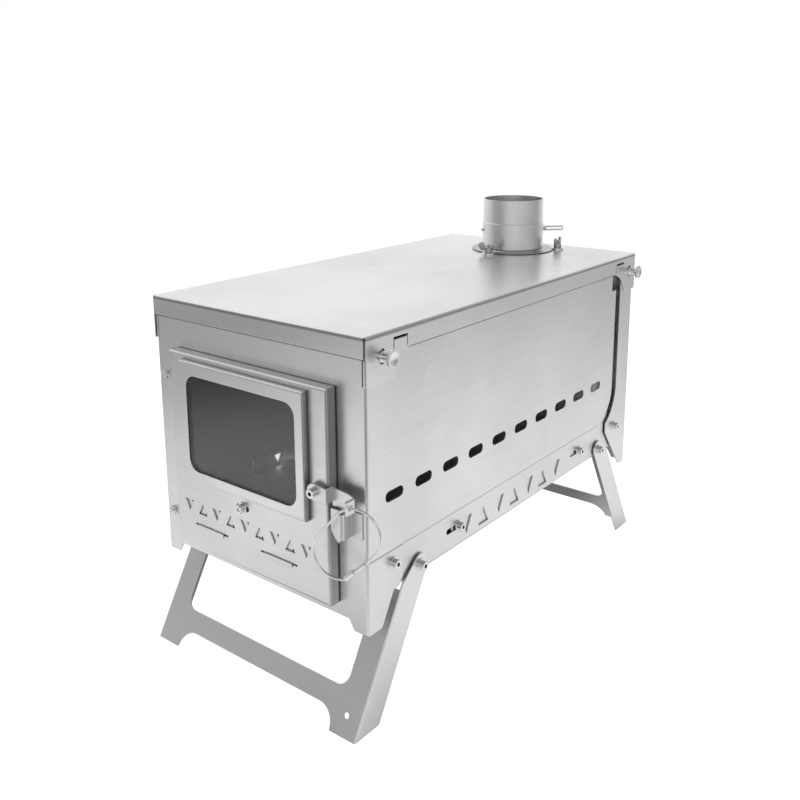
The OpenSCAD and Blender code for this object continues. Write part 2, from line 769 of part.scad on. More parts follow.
module bottom_pan() {
    wall_h = strip_h + wall_lap;
    pan_l = 2*(y_in - touch_gap);
    color("lightgray") difference() {
        union() {
            translate([0, pan_l/2, floor_z]) rotate([90, 0, 0]) linear_extrude(pan_l)
                translate([0, wall_h]) mirror([0, 1]) channel(2*wall_x, wall_h, bend_r);
            both_ends() translate([-wall_in + bend_r, -pan_l/2, floor_z])
                cube([2*(wall_in - bend_r), sheet_t, lip_h]);
        }
        along_x(-far, far) {
            translate([-side_air_mid, side_air_z])
                air_row(side_air_count, side_air_pitch, side_air_w, side_air_h);
            for (y = side_screws) translate([y - side_travel/2, side_screw_z])
                slot(side_travel + 2*(screw_r + bolt_gap), 2*(screw_r + bolt_gap));
            both_ends_2d() {
                translate([-tab_bolt_y, tab_bolt_z]) disc(screw_r + bolt_gap);
                translate([-pivot_y, pivot_z]) disc(screw_r + bolt_gap);
            }
        }
    }
}

module both_ends_2d() { for (s = [0, 1]) mirror([s, 0]) children(); }

// Heat shield inside a side sheet: a foot on the pan's wall, a ledge and a tall wall
module heat_shield(s) {
    shield_x = x_out - shield_in;
    ledge_z = seam_z + wall_lap;
    color("darkgray") side(s) along_y(-y_in, y_in) {
        translate([wall_in - sheet_t, ledge_z - shield_foot]) square([sheet_t, shield_foot + sheet_t]);
        translate([shield_x - sheet_t, ledge_z]) square([wall_in - shield_x + sheet_t, sheet_t]);
        translate([shield_x - sheet_t, ledge_z]) square([sheet_t, lid_z - ledge_z]);
    }
}

module fire_grate() {
    grate_w = 2*(wall_in - grate_side);
    grate_l = 2*(y_in - grate_end);
    leg_h = grate_up - sheet_t;
    color("dimgray") difference() {
        translate([0, grate_l/2, floor_z + sheet_t]) rotate([90, 0, 0]) linear_extrude(grate_l)
            channel(grate_w, leg_h, fold_r);
        for (i = [0:grate_rows - 1], j = [0:grate_cols - 1])
            translate([(j - (grate_cols - 1)/2)*grate_w/grate_cols,
                       (i - (grate_rows - 1)/2)*grate_l/grate_rows, floor_z])
                linear_extrude(grate_up + eps) slot(grate_slot_l, grate_slot_w);
    }
}

// ---- Air shutters in the pan's walls ----

// A side shutter that stands open by this much
module side_shutter(s, open) {
    low = side_air_z - side_air_h/2 - 3;
    first = side_screws[0] - 8;
    last = side_screws[1] + 8;
    color("gainsboro") side(s) translate([0, -open, 0]) difference() {
        translate([shutter_x - sheet_t, first, low]) cube([sheet_t, last - first, side_shutter_h]);
        along_x(0, far) {
            translate([-side_air_mid + side_travel, side_air_z])
                air_row(side_air_count, side_air_pitch, side_air_w, side_air_h);
            for (y = side_screws) translate([y, side_screw_z]) disc(screw_r + run_gap);
        }
    }
}

// Puts a child, facing away from the wall, at both screws of a shutter that stands open
module at_shutter_screws(s, open, x) {
    side(s) translate([0, -open, 0]) for (y = side_screws)
        facing_right(x, y, side_screw_z) children();
}

module shutter_screws(s, open) {
    seat = wall_x + washer_t;
    color("whitesmoke") at_shutter_screws(s, open, seat)
        cap_screw(seat - shutter_x + sheet_t + nut_h);
}

module shutter_washers(s, open) {
    color("whitesmoke") at_shutter_screws(s, open, wall_x)
        ring(washer_r, screw_r + run_gap, washer_t);
}

module shutter_nuts(s, open) {
    color("silver") at_shutter_screws(s, open, shutter_x - sheet_t) hex_nut();
}

// ---- Legs ----

// Face of a leg frame, in X and the height along the leg
module leg_face() {
    gap_w = 2*(x_out - leg_w);
    arch_w = 2*(x_out - foot_w);
    bar_top = bar_low + bar_h;
    difference() {
        translate([-x_out, 0]) square([body_w, leg_top]);
        translate([-gap_w/2, bar_top + bar_r]) square([gap_w, far]);
        translate([-gap_w/2 + bar_r, bar_top]) square([gap_w - 2*bar_r, far]);
        translate([-arch_w/2 + arch_r, -eps]) square([arch_w - 2*arch_r, bar_low + eps]);
        translate([-arch_w/2, -eps]) square([arch_w, bar_low - arch_r + eps]);
        for (s = [-1, 1]) {
            translate([s*(gap_w/2 - bar_r), bar_top + bar_r]) disc(bar_r);
            translate([s*(arch_w/2 - arch_r), bar_low - arch_r]) disc(arch_r);
            translate([s*(x_out - foot_hole_in), foot_hole_up]) disc(foot_hole_r);
        }
    }
}

// Side flange of a leg frame, with the height along the leg and the depth behind its face
module leg_flange() {
    run = [pivot_s - flange_top, pivot_depth];
    tangent = atan2(run[1], run[0]) - asin(lug_r/norm(run));
    reach = sqrt(pow(norm(run), 2) - pow(lug_r, 2));
    width = pivot_depth + lug_r;
    difference() {
        union() {
            polygon([[0, 0], [flange_top, 0],
                     [flange_top + reach*cos(tangent), reach*sin(tangent)],
                     [pivot_s, pivot_depth], [pivot_s, width], [width*tan(leg_lean), width]]);
            translate([pivot_s, pivot_depth]) disc(lug_r);
        }
        translate([pivot_s, pivot_depth]) disc(screw_r + run_gap);
    }
}

module leg_frame(s) {
    length = pivot_s + lug_r + 1;
    depth = pivot_depth + lug_r;
    color("lightgray") end(s) difference() {
        translate([0, -foot_y, 0]) rotate([90 - leg_lean, 0, 0]) intersection() {
            translate([0, -eps, -depth]) rotate([90, 0, 0]) mirror([0, 0, 1])
                linear_extrude(length) channel(body_w, depth, fold_r);
            union() {
                translate([0, 0, -fold_r]) linear_extrude(fold_r + eps) leg_face();
                both_sides() translate([x_out - fold_r, 0, 0]) rotate([90, 0, 90])
                    linear_extrude(fold_r + eps) mirror([0, 1]) leg_flange();
            }
        }
        translate([-far, -far, -far]) cube([2*far, 2*far, far]);
    }
}

// A cap screw at each of the four places beside an end tab or a leg pivot
module wall_bolts(y, z) {
    seat = x_out + washer_t;
    color("whitesmoke") both_sides() both_ends()
        facing_right(seat, -y, z) cap_screw(seat - wall_in + nut_h);
}

module wall_nuts(y, z) {
    color("silver") both_sides() both_ends() facing_right(wall_in, -y, z) hex_nut();
}

module leg_bolts() { wall_bolts(pivot_y, pivot_z); }
module leg_nuts() { wall_nuts(pivot_y, pivot_z); }
module tab_bolts() { wall_bolts(tab_bolt_y, tab_bolt_z); }
module tab_nuts() { wall_nuts(tab_bolt_y, tab_bolt_z); }

// A ring of height h under each tab bolt and each leg bolt, standing on x
module wall_rings(x, h) {
    both_sides() both_ends() {
        facing_right(x, -tab_bolt_y, tab_bolt_z) ring(washer_r, screw_r + run_gap, h);
        facing_right(x, -pivot_y, pivot_z) ring(washer_r, screw_r + run_gap, h);
    }
}

module bolt_washers() { color("whitesmoke") wall_rings(x_out, washer_t); }
module spacer_washers() { color("silver") wall_rings(wall_x, wall_gap); }

// ---- Door ----

// Turns a shape drawn with its face towards +Y to the front of the stove
module on_front(y, z) { translate([0, -y, z]) mirror([0, 1, 0]) children(); }

module door_tray() {
    color("silver") difference() {
        on_front(door_back, door_z + door_h/2) pressed_tray(door_w, door_h, door_d, fold_r + 0.4);
        along_y(-door_face - eps, -door_face + sheet_t + eps) {
            translate([0, view_z]) round_rect(view_w + 4, view_h + 4, view_r);
            translate([-door_air_mid, door_air_z])
                air_row(door_air_count, door_air_pitch, door_air_w, door_air_h);
            translate([knob_x, knob_z])
                slot(2*(door_travel + screw_r + bolt_gap), 2*(screw_r + bolt_gap));
            for (s = [-1, 1]) translate([-knob_left + s*tab_slot_apart/2, tab_slot_z])
                square([tab_slot_w, tab_slot_h], center = true);
            translate([latch_x, latch_z]) disc(screw_r + bolt_gap);
        }
    }
}

module window_frame() {
    color("gainsboro") difference() {
        on_front(door_face, frame_z) pressed_tray(frame_w, frame_h, frame_d, fold_r);
        along_y(-frame_face - eps, -frame_face + sheet_t + eps)
            translate([0, view_z]) round_rect(view_w, view_h, view_r);
    }
}

module window_glass() {
    color("lightblue") along_y(-glass_face, -glass_face + glass_t)
        translate([0, view_z]) round_rect(glass_w, glass_h, glass_corner);
}

// Flat woven seal between the glass and the door
module glass_gasket() {
    color("dimgray") along_y(-glass_face + glass_t, -door_face) translate([0, view_z])
        difference() {
            round_rect(glass_w, glass_h, glass_corner);
            round_rect(view_w + 4, view_h + 4, view_r);
        }
}

module door_shutter() {
    low = tab_slot_z - sheet_t/2;
    high = knob_z + 5.5;
    air_top = door_air_z + door_air_h/2 + 3;
    row_w = (door_air_count - 1)*door_air_pitch + door_air_w + door_shut + 7;
    row_x = -door_air_mid + door_shut/2;
    tab_z = low - shutter_tab_h + sheet_t;
    out = door_face + touch_gap + sheet_t - door_shutter_y;
    color("gainsboro") {
        difference() {
            union() {
                along_y(-door_shutter_y, -door_shutter_y + sheet_t) {
                    translate([row_x - row_w/2, low]) square([row_w, air_top - low]);
                    translate([knob_x - 9, air_top - eps]) square([18, high - air_top + eps]);
                }
                for (s = [-1, 1]) translate([-knob_left + (s*tab_slot_apart - shutter_tab_w)/2, 0, 0]) {
                    translate([0, -door_shutter_y - out, low])
                        cube([shutter_tab_w, out + sheet_t/2, sheet_t]);
                    translate([0, -door_shutter_y - out, tab_z])
                        cube([shutter_tab_w, sheet_t, low - tab_z + sheet_t]);
                }
            }
            along_y(-door_shutter_y - eps, -door_shutter_y + sheet_t + eps) {
                translate([-door_air_mid + door_shut, door_air_z])
                    air_row(door_air_count, door_air_pitch, door_air_w, door_air_h);
                translate([knob_x, knob_z]) disc(screw_r + run_gap);
            }
        }
    }
}

module shutter_knob() {
    seat = door_face + washer_t;
    color("whitesmoke") facing_front(knob_x, -seat, knob_z)
        cap_screw(seat - door_shutter_y + sheet_t + nut_h);
}

module knob_washer() {
    color("silver") facing_front(knob_x, -door_face, knob_z)
        ring(washer_r, screw_r + run_gap, washer_t);
}

module knob_nut() {
    color("silver") facing_front(knob_x, -door_shutter_y + sheet_t, knob_z) hex_nut();
}

// ---- Hinges ----

// Flat lug round the hinge axis, with a neck that reaches to x along X
module lug_outline(x) {
    difference() {
        union() {
            disc(hinge_lug_r);
            translate([min(x, 0), -hinge_lug_r]) square([abs(x), 2*hinge_lug_r]);
        }
        disc(pin_r + run_gap);
    }
}

// Angle brackets on the front panel, below the door's lugs
module hinge_brackets() {
    bracket_h = 9;
    back = hinge_y - y_out;
    color("lightgray") for (z = hinges) translate([hinge_x, -hinge_y, z]) {
        translate([0, 0, -sheet_t - touch_gap]) linear_extrude(sheet_t) difference() {
            union() {
                disc(hinge_lug_r);
                translate([-hinge_lug_r, 0]) square([2*hinge_lug_r, back]);
            }
            disc(pin_r + run_gap);
        }
        translate([-hinge_lug_r, back - sheet_t, -bracket_h - touch_gap])
            cube([2*hinge_lug_r, sheet_t, bracket_h]);
    }
}

// Angle lugs on the door's left side
module hinge_lugs() {
    lug_h = 8;
    side_x = hinge_out;
    color("lightgray") for (z = hinges) translate([hinge_x, -hinge_y, z]) {
        linear_extrude(sheet_t) lug_outline(side_x);
        translate([side_x - sheet_t, -hinge_lug_r, 0]) cube([sheet_t, 2*hinge_lug_r, lug_h]);
    }
}

module hinge_pins() {
    head_h = 1.6;
    color("whitesmoke") for (z = hinges) translate([hinge_x, -hinge_y, z]) {
        translate([0, 0, sheet_t]) rod(pin_r + 1.1, head_h);
        translate([0, 0, -sheet_t - 2*touch_gap - 2]) rod(pin_r, 3*sheet_t + 2);
    }
}

// ---- Latch ----

// Side of the latch arm from its pivot to its eye, in X and Z
module arm_outline() {
    low_front = latch_z - arm_r + 0.3;
    low_end = lip_top + touch_gap + 0.3;
    notch_x = step_x + 0.4;
    end_x = eye_x + sheet_t;
    polygon([[latch_x, latch_z + arm_r - 0.2], [step_x, latch_z + 4.9], [end_x - 5, latch_z + 3.6],
             [end_x - 1.5, latch_z + 2.4], [end_x, latch_z + 1], [end_x, low_end],
             [notch_x, low_end], [notch_x, low_front], [latch_x, low_front]]);
}

module latch_arm() {
    front = -arm_face + sheet_t/2;
    rear = -arm_end_face + sheet_t/2;
    step = step_x - sheet_t/2;
    color("lightgray") difference() {
        intersection() {
            union() {
                along_y(-arm_face - 10, -y_out) arm_outline();
                along_y(-arm_face - 11, -y_out - 1) translate([latch_x, latch_z]) disc(arm_r);
            }
            linear_extrude(top_z) bent_strip([[latch_x - arm_r, front], [step, front],
                [step, rear], [eye_x + sheet_t/2, rear], [eye_x + sheet_t/2, -eye_y - eye_r - 2.2]]);
        }
        along_y(-far, -arm_back + eps) translate([latch_x, latch_z]) disc(screw_r + run_gap);
        facing_right(eye_x - eps, -eye_y, eye_z) rod(eye_r, 2*sheet_t);
    }
}

module latch_screw() {
    seat = arm_face + run_gap;
    color("whitesmoke") facing_front(latch_x, -seat, latch_z)
        cap_screw(seat - door_face + sheet_t + nut_h);
}

module latch_spacer() {
    color("silver") facing_front(latch_x, -door_face, latch_z)
        ring(washer_r, screw_r + run_gap, latch_fwd - run_gap);
}

module latch_nut() {
    color("silver") facing_front(latch_x, -door_face + sheet_t, latch_z) hex_nut();
}

// Bracket on the front panel that the latch arm rests on
module latch_keeper() {
    middle = -lip_face + sheet_t/2;
    right = keeper_right - sheet_t/2;
    bend = 2.5;
    low = lip_top - keeper_h;
    color("lightgray") intersection() {
        linear_extrude(top_z) {
            translate([lip_left, -lip_face]) square([keeper_right - lip_left - bend, sheet_t]);
            translate([right - sheet_t/2, -lip_face + bend])
                square([sheet_t, lip_face - bend - y_out]);
            translate([keeper_right - eps, -y_out - sheet_t]) square([keeper_foot_w + eps, sheet_t]);
            translate([keeper_right - bend, -lip_face + bend]) difference() {
                disc(bend);
                disc(bend - sheet_t);
                translate([-far, -far/2]) square([far, far]);
                translate([-far/2, 0]) square([far, far]);
            }
        }
        along_y(-lip_face - eps, -y_out) {
            polygon([[lip_left, low + 8], [lip_left + 4, low + 2.5], [lip_left + 7, low],
                     [keeper_right - bend, low + 0.6], [keeper_right - bend, lip_top],
                     [lip_left, lip_top]]);
            translate([keeper_right - bend - eps, low + 2]) square([bend + keeper_foot_w + eps,
                keeper_h - 5]);
        }
    }
}

// ---- Pull ring ----

// The loop lies along Y in its own plane and has two round ends
loop_r = loop_w/2;
loop_h = loop_l/2 - loop_r;               // distance of the round ends' middles from the loop's middle
loop_turn = 54;                           // where the lower round end meets the barrel, from its lowest point
barrel_start = [loop_r*sin(loop_turn), -loop_h - loop_r*cos(loop_turn)];
barrel_end = [loop_r, 0.1*loop_h];
barrel_run = barrel_end - barrel_start;

// Hangs a shape drawn round the loop's middle in the eye of the latch arm
module hang_ring() {
    translate([eye_x + sheet_t/2, -eye_y, wire_z]) rotate([0, 0, ring_yaw]) rotate([90, 0, 0])
        translate([loop_r*sin(loop_hang), -loop_r*cos(loop_hang), 0]) rotate([0, 0, -loop_lean])
            translate([0, -loop_h, 0]) children();
}

// Rod from one point of the loop's plane to another
module bar(a, b, r) {
    run = b - a;
    translate([a[0], a[1], 0]) rotate([0, 0, atan2(run[1], run[0])]) rotate([0, 90, 0])
        rod(r, norm(run));
}

// Part of a round end: its middle at y, turned from one angle by another
module loop_bend(y, from, by) {
    translate([0, y, 0]) rotate([0, 0, from]) rotate_extrude(angle = by, $fn = 96)
        translate([loop_r, 0]) circle(wire_r, $fn = 24);
}

module wire_loop() {
    color("gray") hang_ring() {
        loop_bend(loop_h, 0, 180);
        loop_bend(-loop_h, 180, 90 + loop_turn);
        bar([-loop_r, loop_h], [-loop_r, -loop_h], wire_r);
        bar([loop_r, loop_h], barrel_end, wire_r);
        bar(barrel_start, barrel_start + 0.3*barrel_run, wire_r);
        bar(barrel_end - 0.3*barrel_run, barrel_end, wire_r);
        for (p = [[-loop_r, loop_h], [-loop_r, -loop_h], [loop_r, loop_h], barrel_start, barrel_end])
            translate([p[0], p[1], 0]) sphere(wire_r + 0.04, $fn = 24);
    }
}

// Sleeve over the two ends of the wire: a thick part and a thin part
module loop_barrel() {
    color("whitesmoke") hang_ring() difference() {
        union() {
            bar(barrel_start + 0.06*barrel_run, barrel_start + 0.46*barrel_run, barrel_r);
            bar(barrel_start + 0.4*barrel_run, barrel_end - 0.06*barrel_run, barrel_r*0.7);
        }
        bar(barrel_start, barrel_end, wire_r + run_gap);
    }
}

// ---- Flue ----

module flue_collar() {
    shoulder = collar_h - spigot_l;
    color("silver") difference() {
        translate([0, flue_y, top_z]) rotate_extrude($fn = 96)
            polygon([[collar_bore_r, 0], [collar_r + collar_flange, 0],
                     [collar_r + collar_flange, sheet_t], [collar_r + 0.6, sheet_t],
                     [collar_r, sheet_t + 0.6], [collar_r, shoulder - 0.4],
                     [spigot_r, shoulder], [spigot_r, collar_h], [collar_bore_r, collar_h]]);
        translate([0, flue_y, damper_z]) rotate([0, 0, damper_dir]) rotate([0, 90, 0])
            translate([0, 0, -far/2]) rod(shaft_r + run_gap, far);
    }
}

// Puts a child at each stud, or at one of them
module at_stud(a) { translate([0, flue_y, 0]) rotate(a) translate([stud_at, 0, 0]) children(); }

module flue_studs() {
    color("whitesmoke") for (a = stud_dirs) at_stud(a) {
        translate([0, 0, lid_z - stud_head_h]) rod(cap_r + 0.5, stud_head_h);
        translate([0, 0, lid_z - eps]) rod(screw_r, stud_top - lid_z + eps);
    }
}

module flue_washers() {
    color("whitesmoke") for (a = stud_dirs) at_stud(a) difference() {
        translate([0, 0, top_z]) rod(stud_washer_r, sheet_t + washer_t);
        translate([0, 0, top_z - eps]) rod(screw_r + run_gap, sheet_t + washer_t + 2*eps);
        translate([-stud_at, 0, top_z - eps])
            rod(collar_r + collar_flange + touch_gap, sheet_t + eps);
    }
}

// Wing nut on one of the studs
module stud_nut(i) {
    color("whitesmoke") at_stud(stud_dirs[i]) translate([0, 0, nut_seat]) wing_nut(nut_turns[i]);
}

// Stands a child's +Z along the damper shaft, at the middle of the flue
module on_shaft() {
    translate([0, flue_y, damper_z]) rotate([0, 0, damper_dir]) rotate([0, 90, 0]) children();
}

// Round plate with a pressed groove that clips over the shaft
module damper_disc() {
    disc_r = collar_bore_r - damper_gap;
    groove_l = 2*(disc_r - 2.5);
    groove_r = shaft_r + run_gap;
    color("gray") on_shaft() difference() {
        union() {
            rotate([90, 0, 0]) translate([0, 0, -sheet_t/2]) rod(disc_r, sheet_t);
            translate([0, 0, -groove_l/2]) intersection() {
                rod(groove_r + sheet_t, groove_l);
                translate([-groove_r - sheet_t, 0, 0])
                    cube([2*(groove_r + sheet_t), groove_r + sheet_t, groove_l]);
            }
        }
        translate([0, 0, -far/2]) rod(groove_r, far);
    }
}

// Shaft with a hairpin handle of wire
module damper_shaft() {
    handle_start = collar_r + 1.5;
    handle_end = collar_r + handle_l - handle_apart/2 - handle_wire_r;
    color("whitesmoke") on_shaft() {
        translate([0, 0, -collar_r - 2]) rod(shaft_r, 2*collar_r + 6);
        for (s = [-1, 1]) translate([s*handle_apart/2, 0, handle_start])
            rod(handle_wire_r, handle_end - handle_start);
        translate([0, 0, handle_end]) rotate([90, 0, 0]) rotate_extrude(angle = 180, $fn = 48)
            translate([handle_apart/2, 0]) circle(handle_wire_r, $fn = 24);
    }
}

// ---- Ear screws ----

module ear_screw(s, y, turn) {
    color("whitesmoke") side(s) facing_right(lid_x, y, ear_screw_z)
        wing_screw(turn, lid_x - x_in + nut_h);
}

module ear_nuts() {
    color("silver") both_sides() for (y = ear_screws) facing_right(x_in, y, ear_screw_z) hex_nut();
}

lid();
casing();
rear_panel();
bottom_pan();
heat_shield(-1);  // heat_shield_left
heat_shield(1);  // heat_shield_right
fire_grate();
side_shutter(-1, left_open);  // side_shutter_left
side_shutter(1, 0);  // side_shutter_right
shutter_screws(-1, left_open);  // shutter_screws_left
shutter_screws(1, 0);  // shutter_screws_right
shutter_washers(-1, left_open);  // shutter_washers_left
shutter_washers(1, 0);  // shutter_washers_right
shutter_nuts(-1, left_open);  // shutter_nuts_left
shutter_nuts(1, 0);  // shutter_nuts_right
leg_frame(-1);  // front_leg_frame
leg_frame(1);  // rear_leg_frame
leg_bolts();
leg_nuts();
tab_bolts();
tab_nuts();
bolt_washers();
spacer_washers();
door_tray();
window_frame();
window_glass();
glass_gasket();
door_shutter();
shutter_knob();
knob_washer();
knob_nut();
hinge_brackets();
hinge_lugs();
hinge_pins();
latch_arm();
latch_screw();
latch_spacer();
latch_nut();
latch_keeper();
wire_loop();
loop_barrel();
flue_collar();
flue_studs();
flue_washers();
stud_nut(0);  // wing_nut_front
stud_nut(1);  // wing_nut_right
stud_nut(2);  // wing_nut_left
damper_disc();
damper_shaft();
ear_screw(-1, ear_screws[0], 20);  // ear_screw_front_left
ear_screw(1, ear_screws[0], 22);  // ear_screw_front_right
ear_screw(-1, ear_screws[1], 75);  // ear_screw_rear_left
ear_screw(1, ear_screws[1], 15);  // ear_screw_rear_right
ear_nuts();
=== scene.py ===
"""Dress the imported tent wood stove: satin sheet metal, glass, bright screws, light and camera.

All lengths are metres in the shared frame: X to the right seen from the front, -Y out of the
door, Z up, with the origin on the ground under the middle of the lid.
"""

import logging
import math
from dataclasses import dataclass, field
from enum import Enum
from typing import ClassVar

import bmesh
import bpy
from mathutils import Euler, Matrix, Vector


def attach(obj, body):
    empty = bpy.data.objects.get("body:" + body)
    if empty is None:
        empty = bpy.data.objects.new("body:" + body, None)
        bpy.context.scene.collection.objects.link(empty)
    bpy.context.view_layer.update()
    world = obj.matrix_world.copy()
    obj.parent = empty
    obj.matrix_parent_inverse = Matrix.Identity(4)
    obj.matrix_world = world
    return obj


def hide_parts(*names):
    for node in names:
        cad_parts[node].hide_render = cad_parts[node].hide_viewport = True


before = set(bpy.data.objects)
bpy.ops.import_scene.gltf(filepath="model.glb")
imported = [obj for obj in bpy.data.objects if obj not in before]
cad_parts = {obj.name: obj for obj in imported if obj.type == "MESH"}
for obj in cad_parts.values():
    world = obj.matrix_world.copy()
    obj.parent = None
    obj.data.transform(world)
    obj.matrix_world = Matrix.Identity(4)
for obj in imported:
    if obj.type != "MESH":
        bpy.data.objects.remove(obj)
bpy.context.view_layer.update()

log = logging.getLogger("stove")
logging.basicConfig(level=logging.INFO, format="%(name)s: %(message)s")

Tree, Node, Socket = bpy.types.NodeTree, bpy.types.Node, bpy.types.NodeSocket
Material, BMesh = bpy.types.Material, bmesh.types.BMesh
Pair, Triple = tuple[float, float], tuple[float, float, float]

NODES: dict[str, bpy.types.Object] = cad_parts
UNIT = (0.0, 1.0)  # the range of a mask
UP = (0.0, 0.0, 1.0)
WAVE_PITCH = math.pi / 10  # the pitch of a wave texture at scale 1
SHARP = math.radians(30)  # where faces meet at more than this, the shading keeps an edge


# ---- Shader building blocks ----


class Axis(Enum):
    """An axis of the shared frame."""

    X = 0
    Y = 1
    Z = 2


def feed(tree: Tree, socket: Socket, value: object) -> None:
    """Link an input to another node, or set it.

    Args:
        tree: The node tree of the input.
        socket: The input.
        value: The output to link, or a plain value.
    """
    if isinstance(value, Socket):
        tree.links.new(value, socket)
    else:
        socket.default_value = value


def add(tree: Tree, kind: str, **sockets: object) -> Node:
    """Add a shader node and set its sockets.

    Args:
        tree: The node tree that takes the node.
        kind: The node's type without its ShaderNode prefix.
        sockets: Socket values or links by name, with _ for a space.

    Returns:
        The new node.
    """
    made = tree.nodes.new("ShaderNode" + kind)
    for name, value in sockets.items():
        feed(tree, made.inputs[name.replace("_", " ")], value)
    return made


def math_node(tree: Tree, operation: str, *values: object, kind: str = "Math") -> Socket:
    """Add a Math node, or a Vector Math node whose result is a number.

    Args:
        tree: The node tree that takes the node.
        operation: The node's operation.
        values: Numbers, vectors or sockets, in the order of the node's inputs.
        kind: Math or VectorMath.

    Returns:
        The node's result.
    """
    made = add(tree, kind)
    made.operation = operation
    for socket, value in zip(made.inputs, values):
        feed(tree, socket, value)
    return made.outputs["Value"]


def spread(
    tree: Tree, value: Socket, old: tuple[object, object], new: tuple[object, object], smooth: bool = False
) -> Socket:
    """Map a value from one range to another, clamped.

    Args:
        tree: The node tree that takes the node.
        value: The value to map.
        old: The range that the value comes in.
        new: The range that it leaves in.
        smooth: Whether the ends of the range are eased.

    Returns:
        The mapped value.
    """
    ends = {"From_Min": old[0], "From_Max": old[1], "To_Min": new[0], "To_Max": new[1]}
    made = add(tree, "MapRange", Value=value, **ends)
    if smooth:
        made.interpolation_type = "SMOOTHSTEP"
    return made.outputs[0]


def noise(tree: Tree, vector: Socket, scale: object, detail: float, rough: float = 0.5) -> Socket:
    """Add a noise.

    Args:
        tree: The node tree that takes the node.
        vector: Where it is read.
        scale: Its scale, a number or a socket.
        detail: Its number of octaves.
        rough: How much each octave keeps of the one before.

    Returns:
        The noise, around 0.5.
    """
    return add(tree, "TexNoise", Vector=vector, Scale=scale, Detail=detail, Roughness=rough).outputs[0]


def tinted(tree: Tree, colour: Triple, light: Socket) -> Socket:
    """Multiply a colour by a varying value.

    Args:
        tree: The node tree that takes the node.
        colour: The colour.
        light: The value.

    Returns:
        The product.
    """
    made = add(tree, "Mix", Factor=1.0)
    made.data_type = "RGBA"
    made.blend_type = "MULTIPLY"
    made.inputs[6].default_value = (*colour, 1.0)
    tree.links.new(light, made.inputs[7])
    return made.outputs[2]


def new_material(name: str) -> tuple[Material, Node]:
    """Start a material.

    Args:
        name: The material's name.

    Returns:
        The material and its Principled shader.
    """
    material = bpy.data.materials.new(name)
    material.use_nodes = True
    return material, material.node_tree.nodes["Principled BSDF"]


class GroupBuilder:
    """A shader node group with named inputs and outputs."""

    def __init__(
        self, name: str, inputs: dict[str, float], outputs: tuple[str, ...], normals: tuple[str, ...] = ()
    ) -> None:
        """Make the group's interface.

        Args:
            name: The group's name.
            inputs: The plain inputs and their default values.
            outputs: The names of the plain outputs.
            normals: The names of the outputs that are normals.
        """
        self.tree = bpy.data.node_groups.new(name, "ShaderNodeTree")
        self.tree.interface.new_socket("Vector", in_out="INPUT", socket_type="NodeSocketVector")
        for key, value in inputs.items():
            socket = self.tree.interface.new_socket(key, in_out="INPUT", socket_type="NodeSocketFloat")
            socket.default_value = value
        for key in outputs:
            self.tree.interface.new_socket(key, in_out="OUTPUT", socket_type="NodeSocketFloat")
        for key in normals:
            self.tree.interface.new_socket(key, in_out="OUTPUT", socket_type="NodeSocketVector")
        self.source = self.tree.nodes.new("NodeGroupInput").outputs
        self.target = self.tree.nodes.new("NodeGroupOutput").inputs

    def put(self, key: str, value: Socket) -> None:
        """Link a value to the output of that name."""
        self.tree.links.new(value, self.target[key])


